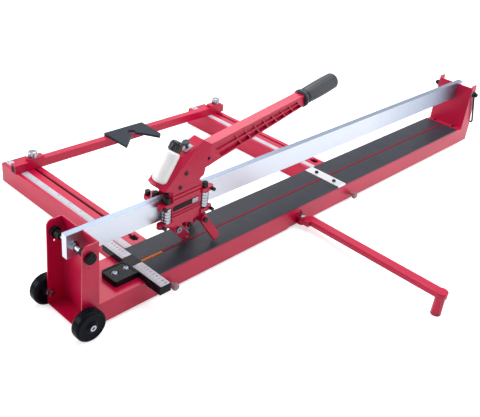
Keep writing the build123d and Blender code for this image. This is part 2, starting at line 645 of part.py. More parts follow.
def arm_scale_span(edge):
    """Left and right ends of the scale groove of an arm."""
    middle = edge + ARM_SCALE_OFFSET
    return middle - ARM_SCALE_WIDTH / 2, middle + ARM_SCALE_WIDTH / 2


def arm(edge):
    """Slotted rear arm, open below, with a front plate against the skirt and an entry for the slot nut."""
    right = edge + ARM_WIDTH
    body = block(edge, right, ARM_FRONT, ARM_REAR, ARM_BOTTOM, ARM_TOP)
    body -= block(edge + ARM_WALL, right - ARM_WALL, ARM_FRONT + ARM_WALL, ARM_REAR + 1, ARM_BOTTOM - 1,
                  ARM_TOP - ARM_TOP_WALL)
    slot_x = edge + ARM_SLOT_OFFSET
    slot_front = ARM_FRONT + ARM_SLOT_START
    slot_rear = ARM_REAR - ARM_SLOT_END
    low = ARM_TOP - ARM_TOP_WALL - 1
    half = ARM_SLOT_WIDTH / 2
    body -= block(slot_x - half, slot_x + half, slot_front, slot_rear, low, ARM_TOP + 1)
    for y in (slot_front, slot_rear):
        body -= rod_z(low, ARM_TOP + 1, slot_x, y, half)
    entry = T_NUT[0] / 2 + ROOM
    body -= block(slot_x - entry, slot_x + entry, slot_front, slot_front + 2 * entry, low, ARM_TOP + 1)
    scale_left, scale_right = arm_scale_span(edge)
    scale_low = ARM_TOP - ARM_SCALE_DEPTH
    body -= block(scale_left, scale_right, ARM_FRONT - 1, ARM_REAR + 1, scale_low, ARM_TOP + 1)
    lock_x = edge + ARM_WIDTH / 2
    return body - rod_y(ARM_FRONT - 1, ARM_FRONT + ARM_WALL + 1, lock_x, LOCK_Z, LOCK_RADIUS + RUN)


def arm_scale(edge):
    """Printed strip lying in the groove of an arm."""
    scale_left, scale_right = arm_scale_span(edge)
    return block(scale_left + RUN, scale_right - RUN, ARM_FRONT, ARM_REAR, ARM_TOP - ARM_SCALE_DEPTH, ARM_TOP)


def arm_plug(edge):
    """End plug of an arm, standing on the ground."""
    right = edge + ARM_WIDTH
    plug_top = ARM_TOP - ARM_TOP_WALL
    plug = block(edge + ARM_WALL, right - ARM_WALL, ARM_REAR - ARM_PLUG, ARM_REAR, 0, plug_top)
    return plug + block(edge, right, ARM_REAR, ARM_REAR + ARM_PLUG_FACE, ARM_BOTTOM, ARM_TOP)


ARM_NUT_END = ARM_FRONT + ARM_WALL + NUT_HEIGHT


def arm_nut(x):
    """Captive nut of a lock screw, behind the arm's front plate."""
    nut = hex_y(ARM_FRONT + ARM_WALL, ARM_NUT_END, x, LOCK_Z, NUT_RADIUS)
    return nut - rod_y(ARM_FRONT, ARM_NUT_END + 1, x, LOCK_Z, LOCK_RADIUS + RUN)


def lock_knob(x):
    """Lock screw across the base with its round knob in front of the skirt."""
    knob_rear = -HALF_WIDTH - LOCK_STANDOFF
    knob = rod_y(knob_rear - LOCK_KNOB_LENGTH, knob_rear, x, LOCK_Z, LOCK_KNOB_RADIUS)
    knob = fillet(knob.edges().group_by(Axis.Y)[0], LOCK_KNOB_LENGTH * 0.3)
    return knob + rod_y(knob_rear - 1, ARM_NUT_END + 2, x, LOCK_Z, LOCK_RADIUS)


def fence_bar():
    """Square tube across the arms with a stud hole near each end."""
    tube = block(FENCE_LEFT, FENCE_RIGHT, FENCE_FRONT, FENCE_REAR, FENCE_BOTTOM, FENCE_TOP)
    tube -= block(FENCE_LEFT - 1, FENCE_RIGHT + 1, FENCE_FRONT + FENCE_WALL, FENCE_REAR - FENCE_WALL,
                  FENCE_BOTTOM + FENCE_WALL, FENCE_TOP - FENCE_WALL)
    for x in SLOT_XS:
        tube -= rod_z(FENCE_BOTTOM - 1, FENCE_TOP + 1, x, FENCE_MIDDLE, CLAMP_STUD + RUN)
    return tube


def fence_cap(start):
    """Plug sunk in an end of the fence tube."""
    return block(start, start + FENCE_CAP, FENCE_FRONT + FENCE_WALL, FENCE_REAR - FENCE_WALL,
                 FENCE_BOTTOM + FENCE_WALL, FENCE_TOP - FENCE_WALL)


def fence_caps():
    """Both end plugs of the fence tube."""
    return [fence_cap(FENCE_LEFT + FENCE_CAP_INSET), fence_cap(FENCE_RIGHT - FENCE_CAP_INSET - FENCE_CAP)]


def clamp_plate(x, shift):
    """Plate under a clamp knob."""
    length, height = CLAMP_PLATE
    left = x + shift - length / 2
    body = block(left, left + length, FENCE_FRONT, FENCE_REAR, FENCE_TOP, FENCE_TOP + height)
    return body - rod_z(FENCE_TOP - 1, FENCE_TOP + height + 1, x, FENCE_MIDDLE, CLAMP_STUD + RUN)


T_NUT_TOP = ARM_TOP - ARM_TOP_WALL - GAP
T_NUT_BOTTOM = T_NUT_TOP - T_NUT[1]


def t_nut(x):
    """Nut under the arm's top wall that the clamp stud draws up."""
    half = T_NUT[0] / 2
    body = block(x - half, x + half, FENCE_MIDDLE - half, FENCE_MIDDLE + half, T_NUT_BOTTOM, T_NUT_TOP)
    return body - rod_z(T_NUT_BOTTOM - 1, T_NUT_TOP + 1, x, FENCE_MIDDLE, CLAMP_STUD + RUN)


def clamp_knob(x):
    """Clamp knob with its stud through fence, slot and nut."""
    seat = FENCE_TOP + CLAMP_PLATE[1] + GAP
    knob = rod_z(seat, seat + CLAMP_KNOB_HEIGHT, x, FENCE_MIDDLE, CLAMP_KNOB_RADIUS)
    knob = fillet(knob.edges().group_by(Axis.Z)[-1], CLAMP_KNOB_RADIUS * 0.3)
    return knob + rod_z(T_NUT_BOTTOM - 2, seat + 1, x, FENCE_MIDDLE, CLAMP_STUD)


STOP_LEFT = ARM_LEFT_EDGES[0] + STOP_START
STOP_SCREW_X = STOP_LEFT + STOP_SCREW_OFFSET
STOP_BOTTOM = FENCE_TOP + GAP
STOP_FLANGE_FRONT = FENCE_REAR + GAP


def fence_stop():
    """V-shaped stop that straddles the fence tube."""
    points = [(STOP_LEFT + x, FENCE_FRONT + y) for x, y in STOP_OUTLINE]
    plate = prism_z(points, STOP_BOTTOM, STOP_BOTTOM + STOP_THICK)
    hole_x = STOP_LEFT + STOP_RELIEF[0]
    hole_y = FENCE_FRONT + STOP_RELIEF[1]
    plate -= rod_z(STOP_BOTTOM - 1, STOP_BOTTOM + STOP_THICK + 1, hole_x, hole_y, STOP_RELIEF[2])
    xs = [x for x, _ in points]
    flange = block(min(xs), max(xs), STOP_FLANGE_FRONT, STOP_FLANGE_FRONT + STOP_FLANGE,
                   FENCE_TOP - STOP_FLANGE_DROP, STOP_BOTTOM + STOP_THICK)
    screw_z = FENCE_TOP - STOP_FLANGE_DROP / 2
    return plate + flange - rod_y(FENCE_REAR, FENCE_REAR + 2 * STOP_FLANGE, STOP_SCREW_X, screw_z,
                                  STOP_SCREW_RADIUS + RUN)


def fence_stop_screw():
    """Thumb screw through the flange of the stop."""
    screw_z = FENCE_TOP - STOP_FLANGE_DROP / 2
    knob_front = STOP_FLANGE_FRONT + STOP_FLANGE + GAP
    knob = rod_y(knob_front, knob_front + STOP_KNOB_LENGTH, STOP_SCREW_X, screw_z, STOP_KNOB_RADIUS)
    knob = fillet(knob.edges().group_by(Axis.Y)[-1], STOP_KNOB_RADIUS * 0.3)
    return knob + rod_y(FENCE_REAR + GAP, knob_front + 1, STOP_SCREW_X, screw_z, STOP_SCREW_RADIUS)


SUPPORT_Y = -HALF_WIDTH - SUPPORT_STANDOFF
CLEVIS_LOW = SUPPORT_ROOT_Z - CLEVIS_OPEN / 2
CLEVIS_HIGH = SUPPORT_ROOT_Z + CLEVIS_OPEN / 2


def support_clevis():
    """Plate inside the skirt that closes the arch, with two lugs out to the upright pivot bolt."""
    left = SUPPORT_X - CLEVIS_RADIUS
    right = SUPPORT_X + CLEVIS_RADIUS
    reach = ARCH_RADIUS + ARCH_LAP
    inside = -INNER_HALF + CLEVIS_LUG
    body = block(ARCH_X - reach, ARCH_X + reach, -INNER_HALF, inside, BASE_BOTTOM, ARCH_TOP + ARCH_LAP)
    for low in (CLEVIS_LOW - CLEVIS_LUG, CLEVIS_HIGH):
        body += block(left, right, SUPPORT_Y, inside, low, low + CLEVIS_LUG)
        body += rod_z(low, low + CLEVIS_LUG, SUPPORT_X, SUPPORT_Y, CLEVIS_RADIUS)
    return body - rod_z(0, CLEVIS_HIGH + 2 * CLEVIS_LUG, SUPPORT_X, SUPPORT_Y, SUPPORT_BOLT + RUN)


def support_bolt():
    """Upright pivot bolt with a round head above and a clip below."""
    top = CLEVIS_HIGH + CLEVIS_LUG
    low = CLEVIS_LOW - CLEVIS_LUG
    head = rod_z(top, top + SUPPORT_BOLT, SUPPORT_X, SUPPORT_Y, SUPPORT_BOLT + 3)
    head = fillet(head.edges().group_by(Axis.Z)[-1], SUPPORT_BOLT * 0.5)
    return head + rod_z(low - 3, top + 1, SUPPORT_X, SUPPORT_Y, SUPPORT_BOLT) + rod_z(
        low - 3, low, SUPPORT_X, SUPPORT_Y, SUPPORT_BOLT + 2)


SUPPORT_START = Vector(SUPPORT_X + SUPPORT_ROOT[0], SUPPORT_Y + SUPPORT_ROOT[1], SUPPORT_ROOT_Z)
SUPPORT_END = Vector(*SUPPORT_TIP, PAD_TOP - SUPPORT_TALL / 2)
SUPPORT_RUN = SUPPORT_END - SUPPORT_START


def support_bar(width, tall, corner):
    """Rounded flat bar from the root of the support arm to its tip."""
    start = Plane(origin=SUPPORT_START, x_dir=(-SUPPORT_RUN.Y, SUPPORT_RUN.X, 0), z_dir=SUPPORT_RUN)
    return extrude(start * RectangleRounded(width, tall, corner), amount=SUPPORT_RUN.length)


def support_arm():
    """Flat tube with a knuckle between the clevis lugs, a neck and a round leg at the tip."""
    tube = support_bar(SUPPORT_WIDTH, SUPPORT_TALL, SUPPORT_CORNER)
    tube -= support_bar(SUPPORT_WIDTH - 2 * SUPPORT_WALL, SUPPORT_TALL - 2 * SUPPORT_WALL,
                        SUPPORT_CORNER - SUPPORT_WALL)
    tip_x, tip_y = SUPPORT_TIP
    tube += rod_z(SUPPORT_END.Z - SUPPORT_TALL / 2, PAD_TOP, tip_x, tip_y, SUPPORT_WIDTH / 2)
    tube += rod_z(SUPPORT_FOOT, SUPPORT_END.Z, tip_x, tip_y, SUPPORT_POST)
    knuckle_low = CLEVIS_LOW + GAP
    knuckle_high = CLEVIS_HIGH - GAP
    knuckle = rod_z(knuckle_low, knuckle_high, SUPPORT_X, SUPPORT_Y, CLEVIS_RADIUS - 1)
    far_y = SUPPORT_START.Y - SUPPORT_WIDTH / 2
    side_x = SUPPORT_START.X + SUPPORT_WIDTH / 2 - SUPPORT_CORNER
    outline = [(SUPPORT_X - CLEVIS_RADIUS + 2, SUPPORT_Y), (SUPPORT_X + 3, SUPPORT_Y + CLEVIS_RADIUS - 3),
               (side_x, SUPPORT_START.Y - 1), (side_x, far_y), (SUPPORT_X - CLEVIS_RADIUS + 4, far_y)]
    neck = prism_z(outline, knuckle_low, knuckle_high)
    arm_body = tube + neck + knuckle
    return arm_body - rod_z(0, CLEVIS_HIGH + 1, SUPPORT_X, SUPPORT_Y, SUPPORT_BOLT + RUN)


def support_foot():
    """Pad under the leg of the support arm."""
    return rod_z(0, SUPPORT_FOOT, *SUPPORT_TIP, SUPPORT_POST)


def plate_hole(offset, radius):
    """Hole across both plates, given from the carriage middle and the plate bottom."""
    reach = PLATE_OUTER + 20
    return rod_y(-reach, reach, CARRIAGE_X + offset[0], PLATE_BOTTOM + offset[1], radius)


SPACER_LEFT = CARRIAGE_X + SPACER_OFFSET
SPACER_BOLT = (SPACER_OFFSET + 2 * PIN_RADIUS, HOLDER_PIVOT[1])
BREAKER_X = CARRIAGE_X + BREAKER_PIVOT[0]
BREAKER_Z = PLATE_BOTTOM + BREAKER_PIVOT[1]


def roller_rise(side):
    """How much higher the rollers on one side of the carriage sit."""
    return RIGHT_RISE if side > 0 else 0


def ear_bottoms(side):
    """Undersides of the lower and the upper ears on one side of the carriage."""
    return ROLLER_BOTTOM - GAP - EAR_THICK, ROLLER_TOP + GAP + roller_rise(side)


def ear_end(side, reach):
    """Middle of the round outer end of an ear; the rear ears have the longer reach across the rail."""
    past = REAR_EAR_REACH if reach > EAR_RADIUS else EAR_REACH
    return CARRIAGE_X + side * (ROLLER_SPREAD + past)


def ear_pieces(side, reach):
    """Upper and lower roller ears on one end of the front plate, reaching past the roller axis."""
    roller_x = CARRIAGE_X + side * ROLLER_SPREAD
    end_x = ear_end(side, reach)
    left, right = sorted((end_x, CARRIAGE_X + side * (PLATE_LENGTH / 2 - 1)))
    front = -ROLLER_Y - reach
    ears = []
    for low in ear_bottoms(side):
        high = low + EAR_THICK
        ear = block(left, right, front, -PLATE_INNER, low, high)
        ear += rod_z(low, high, end_x, -ROLLER_Y, EAR_RADIUS)
        if reach > EAR_RADIUS:
            ear += block(end_x - EAR_RADIUS, end_x + EAR_RADIUS, front + EAR_RADIUS, -ROLLER_Y, low, high)
            ear += rod_z(low, high, end_x, front + EAR_RADIUS, EAR_RADIUS)
            ear -= rod_z(low - 1, high + 1, end_x, front + EAR_RADIUS, PIN_RADIUS + RUN)
        else:
            ear -= tip_screw_shank(side, low, TIP_SCREW_RADIUS + RUN)
        ears.append(ear - rod_z(low - 1, high + 1, roller_x, -ROLLER_Y, PIN_RADIUS + RUN))
    return ears


EAR_FRONT = -ROLLER_Y - EAR_RADIUS


def tip_screw_shank(side, ear_low, radius):
    """Shank of the set screw that enters the outer end of a front ear."""
    x = ear_end(side, EAR_RADIUS)
    return rod_y(EAR_FRONT - 1, EAR_FRONT + TIP_SCREW_DEPTH, x, ear_low + EAR_THICK / 2, radius)


def tip_screws():
    """Set screws in the outer ends of the front ears."""
    screws = []
    for side in (-1, 1):
        x = ear_end(side, EAR_RADIUS)
        for low in ear_bottoms(side):
            head = rod_y(EAR_FRONT - TIP_SCREW_STICK, EAR_FRONT, x, low + EAR_THICK / 2, TIP_SCREW_HEAD)
            screws.append(head + tip_screw_shank(side, low, TIP_SCREW_RADIUS))
    return screws


def cheek_tilt(shape):
    """Tilt a piece on the cheek about the carriage middle at the plate top."""
    middle = Pos(CARRIAGE_X, 0, PLATE_TOP)
    return middle * Rot(0, -CHEEK_TILT, 0) * middle.inverse() * shape


def carriage_plate(ear_reach):
    """Front cheek plate with roller ears, lugs for the bolts under the rail and slanting grooves."""
    plate_low = PLATE_BOTTOM + PLATE_LUG
    body = block(PLATE_LEFT, PLATE_RIGHT, -PLATE_OUTER, -PLATE_INNER, plate_low, PLATE_TOP)
    for dx, dz in (HOLDER_PIVOT, SPACER_BOLT, BREAKER_PIVOT):
        x = CARRIAGE_X + dx
        z = PLATE_BOTTOM + dz
        left = min(x - PLATE_LUG_RADIUS, PLATE_RIGHT - 1)
        body += rod_y(-PLATE_OUTER, -PLATE_INNER, x, z, PLATE_LUG_RADIUS)
        body += block(left, x + PLATE_LUG_RADIUS, -PLATE_OUTER, -PLATE_INNER, z, plate_low + 1)
    groove_bottom = -PLATE_OUTER + PLATE_GROOVE
    for offset in PLATE_GROOVES:
        low = PLATE_TOP + offset
        body -= cheek_tilt(block(PLATE_LEFT - 5, PLATE_RIGHT + 5, -PLATE_OUTER - 1, groove_bottom, low,
                                 low + PLATE_GROOVE_WIDTH))
    for side in (-1, 1):
        for ear in ear_pieces(side, ear_reach):
            body += ear
    body -= plate_hole(HOLDER_PIVOT, PIN_RADIUS + RUN)
    body -= plate_hole(SPACER_BOLT, PIN_RADIUS + RUN)
    return body - plate_hole(BREAKER_PIVOT, PIN_RADIUS + RUN)


def rear_ear_bolt(side):
    """Clamp bolt at the outer end of the rear ears."""
    x = ear_end(side, REAR_EAR)
    y = ROLLER_Y + REAR_EAR - EAR_RADIUS
    lower, upper = ear_bottoms(side)
    low = lower - PIN_NUT_HEIGHT
    high = upper + EAR_THICK
    bolt = rod_z(low, high + 1, x, y, PIN_RADIUS) + rod_z(high, high + REAR_BOLT_HEIGHT, x, y, PIN_HEAD)
    return bolt + hex_z(low, lower, x, y, PIN_HEAD)


def spacer_block():
    """Block between the plates under the rail."""
    body = block(SPACER_LEFT, SPACER_LEFT + SPACER_LENGTH, -PLATE_INNER, PLATE_INNER, PLATE_BOTTOM,
                 PLATE_BOTTOM + SPACER_HEIGHT)
    return body - plate_hole(SPACER_BOLT, PIN_RADIUS + RUN)


def roller(side_x, side_y):
    """Stack of ball bearings turning on one pin; a longer hub under the lowest one fills up a rise."""
    x = CARRIAGE_X + side_x * ROLLER_SPREAD
    y = side_y * ROLLER_Y
    rise = roller_rise(side_x)
    rings = []
    for index in range(BEARINGS):
        low = ROLLER_BOTTOM + rise + index * BEARING_PITCH
        high = low + BEARING_PITCH
        hub_low = low if index else ROLLER_BOTTOM
        ring = rod_z(low + GAP, high - GAP, x, y, ROLLER_RADIUS) + rod_z(hub_low, high, x, y, ROLLER_HUB)
        rings.append(ring - rod_z(hub_low - 1, high + 1, x, y, PIN_RADIUS + RUN))
    return rings


def roller_pin(side_x, side_y):
    """Pin of a roller with a round head above and a nut below."""
    x = CARRIAGE_X + side_x * ROLLER_SPREAD
    y = side_y * ROLLER_Y
    low, upper = ear_bottoms(side_x)
    high = upper + EAR_THICK
    head = rod_z(high, high + ROLLER_HEAD_HEIGHT, x, y, ROLLER_HEAD)
    head = fillet(head.edges().group_by(Axis.Z)[-1], ROLLER_HEAD_HEIGHT * 0.25)
    nut_low = low - PIN_NUT_HEIGHT
    return head + rod_z(nut_low, high + 1, x, y, PIN_RADIUS) + hex_z(nut_low, low, x, y, PIN_HEAD)


def through_bolt(offset, head_radius):
    """Bolt across both plates with a round head in front and a nut behind."""
    x = CARRIAGE_X + offset[0]
    z = PLATE_BOTTOM + offset[1]
    body = rod_y(-PLATE_OUTER - PIN_NUT_HEIGHT, PLATE_OUTER + PIN_NUT_HEIGHT, x, z, PIN_RADIUS)
    body += rod_y(-PLATE_OUTER - PIN_NUT_HEIGHT, -PLATE_OUTER, x, z, head_radius)
    body += hex_y(PLATE_OUTER, PLATE_OUTER + PIN_NUT_HEIGHT, x, z, head_radius)
    return body - hex_y(-PLATE_OUTER - PIN_NUT_HEIGHT - 1, -PLATE_OUTER - 1, x, z, PIN_RADIUS * 0.7)


def side_bolt_hole(offset):
    """Blind hole in both sides of the housing."""
    x = CARRIAGE_X + offset[0]
    z = PLATE_TOP + offset[1]
    hole = rod_y(-HOUSING_HALF - 1, -HOUSING_HALF + SIDE_BOLT_LENGTH, x, z, PIN_RADIUS - 1)
    return hole + to_rear(hole)


def side_bolts():
    """Round-headed bolts in the sides of the housing."""
    bolts = []
    for dx, dz in SIDE_BOLTS:
        x = CARRIAGE_X + dx
        z = PLATE_TOP + dz
        bolt = rod_y(-HOUSING_HALF, -HOUSING_HALF + SIDE_BOLT_LENGTH, x, z, PIN_RADIUS - 1)
        bolt += rod_y(-HOUSING_HALF - 2, -HOUSING_HALF, x, z, SIDE_BOLT_HEAD)
        bolts += [bolt, to_rear(bolt)]
    return bolts


def label_plate():
    """Bare plate on the front cheek."""
    left = PLATE_LEFT + 1
    low = PLATE_TOP - LABEL_DROP - LABEL_HEIGHT
    front = -PLATE_OUTER - LABEL_THICK
    return cheek_tilt(block(left, left + LABEL_LENGTH, front, -PLATE_OUTER, low, low + LABEL_HEIGHT))


def on_housing(offset):
    """A place in X and Z given from the carriage middle and the plate top."""
    return CARRIAGE_X + offset[0], PLATE_TOP + offset[1]


BOTTLE_X, BOTTLE_Z = on_housing(BOTTLE_FOOT)
PIVOT_X, PIVOT_Z = on_housing(LEVER_PIVOT)
ADJUSTER_X, ADJUSTER_Z = on_housing(ADJUSTER_AT)


def lean_bottle(shape):
    """Stand a piece drawn upright at the origin on the leaning bottle axis."""
    return Pos(BOTTLE_X, 0, BOTTLE_Z) * Rot(0, BOTTLE_LEAN, 0) * shape


def lean_adjuster(shape):
    """Stand a piece drawn upright at the origin on the sloping top of the housing."""
    return Pos(ADJUSTER_X, 0, ADJUSTER_Z) * Rot(0, -ADJUSTER_LEAN, 0) * shape


def bottle_body(radius, foot, height):
    """Round body with a rounded foot."""
    body = rod_z(foot, height, 0, 0, radius)
    return fillet(body.edges().group_by(Axis.Z)[0], BOTTLE_EDGE)


def lever_slot():
    """Room for the lever root and its upward swing."""
    half = LEVER_HALF + GAP
    reach = LEVER_ROOT / 2 + 2
    steep = radians(LEVER_ANGLE + LEVER_TRAVEL)
    top_start = (PIVOT_X - reach * sin(steep), PIVOT_Z + reach * cos(steep))
    top_end = (top_start[0] + 90 * cos(steep), top_start[1] + 90 * sin(steep))
    low_start = (PIVOT_X, PIVOT_Z - reach)
    low_end = (PIVOT_X + 90, PIVOT_Z - reach)
    swing = prism_y([(PIVOT_X, PIVOT_Z), top_start, top_end, low_end, low_start], -half, half)
    return swing + rod_y(-half, half, PIVOT_X, PIVOT_Z, reach)


def lever_ear():
    """Front ear of the housing beside the lever root."""
    outer = -LEVER_HALF - GAP - LEVER_EAR_THICK
    inner = -LEVER_HALF - GAP
    ear = rod_y(outer, inner, PIVOT_X, PIVOT_Z, LEVER_EAR_RADIUS)
    return ear + block(PIVOT_X - LEVER_EAR_RADIUS, PIVOT_X, outer, inner, PIVOT_Z - LEVER_EAR_RADIUS,
                       PIVOT_Z + LEVER_EAR_RADIUS)


def side_cut(side, start, slope, lean):
    """Plane through a rising line on one side of the housing, leaning inward above it."""
    x, z = on_housing(start)
    rise = radians(slope)
    inward = radians(lean)
    facing = (-sin(inward) * sin(rise), side * cos(inward), sin(inward) * cos(rise))
    return Plane(origin=(x, side * HOUSING_HALF, z), z_dir=facing)


def lever_housing():
    """Faceted casting on the plates: bottle bay on the left, lever root on the right."""
    body = prism_y([on_housing(point) for point in HOUSING_OUTLINE], -HOUSING_HALF, HOUSING_HALF)
    mouth_x, mouth_z = on_housing(HOUSING_MOUTH)
    lip_x, lip_z = on_housing(HOUSING_LIP)
    cuts = [Plane(origin=(mouth_x, -HOUSING_HALF, mouth_z), z_dir=(-1, -1, 1)),
            Plane(origin=(lip_x, 0, lip_z), z_dir=(-1, 0, 1)),
            side_cut(-1, HOUSING_SHOULDER, HOUSING_SHOULDER_SLOPE, CHAMFER_LEAN),
            side_cut(-1, HOUSING_SHOULDER, HOUSING_FACET_SLOPE, HOUSING_FACET_LEAN),
            side_cut(1, REAR_SHOULDER, REAR_SHOULDER_SLOPE, CHAMFER_LEAN)]
    for cut in cuts:
        body = split(body, bisect_by=cut, keep=Keep.BOTTOM)
    body += lever_ear() + to_rear(lever_ear())
    body -= lever_slot()
    body -= lean_bottle(bottle_body(BOTTLE_RADIUS + RUN, 0, BOTTLE_BODY * 3))
    body -= rod_y(-HOUSING_HALF - 1, HOUSING_HALF + 1, PIVOT_X, PIVOT_Z, LEVER_PIN + RUN)
    body -= lean_adjuster(rod_z(-12, 5, 0, 0, ADJUSTER_STEM + RUN))
    for offset in SIDE_BOLTS:
        body -= side_bolt_hole(offset)
    return body


def oil_bottle():
    """Bottle with a neck, standing in the bay of the housing."""
    body = bottle_body(BOTTLE_RADIUS, 0, BOTTLE_BODY)
    body = fillet(body.edges().group_by(Axis.Z)[-1], BOTTLE_EDGE)
    return lean_bottle(body + rod_z(BOTTLE_BODY - 1, BOTTLE_BODY + BOTTLE_NECK_HEIGHT, 0, 0, BOTTLE_NECK))


def bottle_cap():
    """Screw cap over the neck."""
    low = BOTTLE_BODY + GAP
    cap = rod_z(low, low + BOTTLE_CAP_HEIGHT, 0, 0, BOTTLE_CAP_RADIUS)
    cap = fillet(cap.edges().group_by(Axis.Z)[-1], BOTTLE_CAP_EDGE)
    neck_top = BOTTLE_BODY + BOTTLE_NECK_HEIGHT
    return lean_bottle(cap - rod_z(low - 1, neck_top + GAP, 0, 0, BOTTLE_NECK + RUN))


def adjuster_plate():
    """White plate on the sloping top of the housing."""
    length, width, height = ADJUSTER_PLATE
    plate = block(-length / 2, length / 2, -width / 2, width / 2, 0, height)
    return lean_adjuster(plate - rod_z(-1, height + 1, 0, 0, ADJUSTER_STEM + RUN))


def adjuster_knob():
    """Mushroom knob on a stem."""
    low = ADJUSTER_PLATE[2] + ADJUSTER_STEM_RISE
    head = rod_z(low, low + ADJUSTER_KNOB_HEIGHT, 0, 0, ADJUSTER_KNOB)
    head = fillet(head.edges().group_by(Axis.Z)[-1], ADJUSTER_KNOB_HEIGHT * 0.5)
    return lean_adjuster(head + rod_z(-11, low + 1, 0, 0, ADJUSTER_STEM))


def on_lever(shape):
    """Bring a piece drawn level about the origin to the lever's pivot and rest angle."""
    return Pos(PIVOT_X, 0, PIVOT_Z) * Rot(0, -LEVER_ANGLE, 0) * shape


def along_lever(start, end, radius):
    """Round bar along the lever, drawn level."""
    return Pos((start + end) / 2, 0, 0) * Rot(0, 90, 0) * Cylinder(radius, end - start)


def lever_half_height(along):
    """Half the lever's height at a distance from its pivot."""
    return (LEVER_ROOT + (LEVER_TIP - LEVER_ROOT) * along / LEVER_LENGTH) / 2


def lever_pocket(start, end, low_share, high_share, depth):
    """Front pocket between leaning ribs; the shares run from -1 at the lower edge to 1 at the upper edge."""
    points = []
    for along, share in ((start, low_share), (end, low_share), (end, high_share), (start, high_share)):
        points.append((along - share * LEVER_RIB_LEAN / 2, lever_half_height(along) * share))
    return prism_y(points, -LEVER_HALF - 1, -LEVER_HALF + depth)


def lever_pockets():
    """Front pockets: a shallow one above and a deep one below, between each two ribs."""
    last = LEVER_LENGTH - LEVER_RIB - LEVER_RIB_LEAN / 2
    pitch = (last - LEVER_FIRST_RIB) / LEVER_RIBS
    starts = [LEVER_POCKET_START + LEVER_RIB_LEAN / 2]
    starts += [LEVER_FIRST_RIB + index * pitch for index in range(LEVER_RIBS)]
    pockets = []
    for start, end in zip(starts, starts[1:] + [last]):
        pockets.append(lever_pocket(start, end - LEVER_RIB, 0.05, 0.7, LEVER_POCKET))
        pockets.append(lever_pocket(start, end - LEVER_RIB, -0.8, -0.15, LEVER_RECESS))
    return pockets


def lever():
    """Ribbed lever with a round tang inside the grip."""
    root = LEVER_ROOT / 2
    tip = LEVER_TIP / 2
    outline = [(0, -root), (LEVER_LENGTH, -tip), (LEVER_LENGTH, tip), (0, root)]
    body = prism_y(outline, -LEVER_HALF, LEVER_HALF)
    body += rod_y(-LEVER_HALF, LEVER_HALF, 0, 0, root)
    for pocket in lever_pockets():
        body -= pocket
        body -= to_rear(pocket)
    body += along_lever(LEVER_LENGTH - 1, LEVER_LENGTH + COLLAR_LENGTH + GRIP_LENGTH * 0.8, TANG_RADIUS)
    return on_lever(body - rod_y(-LEVER_HALF - 1, LEVER_HALF + 1, 0, 0, LEVER_PIN + RUN))


def lever_pin():
    """Pivot pin of the lever with a socket in each end."""
    end = LEVER_HALF + GAP + LEVER_EAR_THICK
    pin = rod_y(-end, end, PIVOT_X, PIVOT_Z, LEVER_PIN)
    for side in (-1, 1):
        pin -= hex_y(side * (end - 3), side * (end + 1), PIVOT_X, PIVOT_Z, LEVER_PIN * 0.6)
    return pin


def grip():
    """Soft grip with a wider collar, pushed on the tang."""
    collar_end = LEVER_LENGTH + COLLAR_LENGTH
    end = collar_end + GRIP_LENGTH
    handle = along_lever(collar_end - 1, end, GRIP_RADIUS)
    handle = fillet(handle.edges().group_by(Axis.X)[-1], GRIP_EDGE)
    collar = along_lever(LEVER_LENGTH, collar_end, COLLAR_RADIUS)
    collar = fillet(collar.edges().group_by(Axis.X)[-1], COLLAR_LENGTH * 0.3)
    tang_end = collar_end + GRIP_LENGTH * 0.8
    return on_lever(handle + collar - along_lever(LEVER_LENGTH - 1, tang_end + 1, TANG_RADIUS))


AXLE_CUT_X = CARRIAGE_X + HOLDER_AXLE[0]
AXLE_CUT_Z = PLATE_BOTTOM + HOLDER_AXLE[1]
HOLDER_HALF = PLATE_INNER - HOLDER_SIDE_ROOM


def holder_bar(y0, y1, radius):
    """Round-ended bar from the holder pivot to the wheel axle."""
    pivot_x = CARRIAGE_X + HOLDER_PIVOT[0]
    pivot_z = PLATE_BOTTOM + HOLDER_PIVOT[1]
    along = Vector(AXLE_CUT_X - pivot_x, 0, AXLE_CUT_Z - pivot_z).normalized()
    side = Vector(-along.Z, 0, along.X) * radius
    corners = [(pivot_x + side.X, pivot_z + side.Z), (pivot_x - side.X, pivot_z - side.Z),
               (AXLE_CUT_X - side.X, AXLE_CUT_Z - side.Z), (AXLE_CUT_X + side.X, AXLE_CUT_Z + side.Z)]
    bar = prism_y(corners, y0, y1)
    return bar + rod_y(y0, y1, pivot_x, pivot_z, radius) + rod_y(y0, y1, AXLE_CUT_X, AXLE_CUT_Z, radius)


def wheel_holder():
    """Swinging holder with a slot for the cutting wheel."""
    body = holder_bar(-HOLDER_HALF, HOLDER_HALF, HOLDER_RADIUS)
    slot_half = WHEEL_CUTTER_THICK / 2 + GAP
    body -= rod_y(-slot_half, slot_half, AXLE_CUT_X, AXLE_CUT_Z, WHEEL_CUTTER_RADIUS + 2)
    body -= plate_hole(HOLDER_PIVOT, PIN_RADIUS + RUN)
    return body - plate_hole(HOLDER_AXLE, WHEEL_AXLE_RADIUS + RUN)


def cutting_wheel():
    """Scoring wheel with a bevelled rim."""
    half = WHEEL_CUTTER_THICK / 2
    disc = rod_y(-half, half, AXLE_CUT_X, AXLE_CUT_Z, WHEEL_CUTTER_RADIUS)
    disc = chamfer(disc.edges().filter_by(GeomType.CIRCLE), half * 0.9, WHEEL_CUTTER_EDGE)
    return disc - rod_y(-half - 1, half + 1, AXLE_CUT_X, AXLE_CUT_Z, WHEEL_AXLE_RADIUS + RUN)


def wheel_axle():
    """Axle of the cutting wheel with a round head at each end."""
    end = HOLDER_HALF + 2
    axle = rod_y(-end, end, AXLE_CUT_X, AXLE_CUT_Z, WHEEL_AXLE_RADIUS)
    for side in (-1, 1):
        axle += rod_y(side * HOLDER_HALF, side * end, AXLE_CUT_X, AXLE_CUT_Z, WHEEL_AXLE_RADIUS + 2)
    return axle


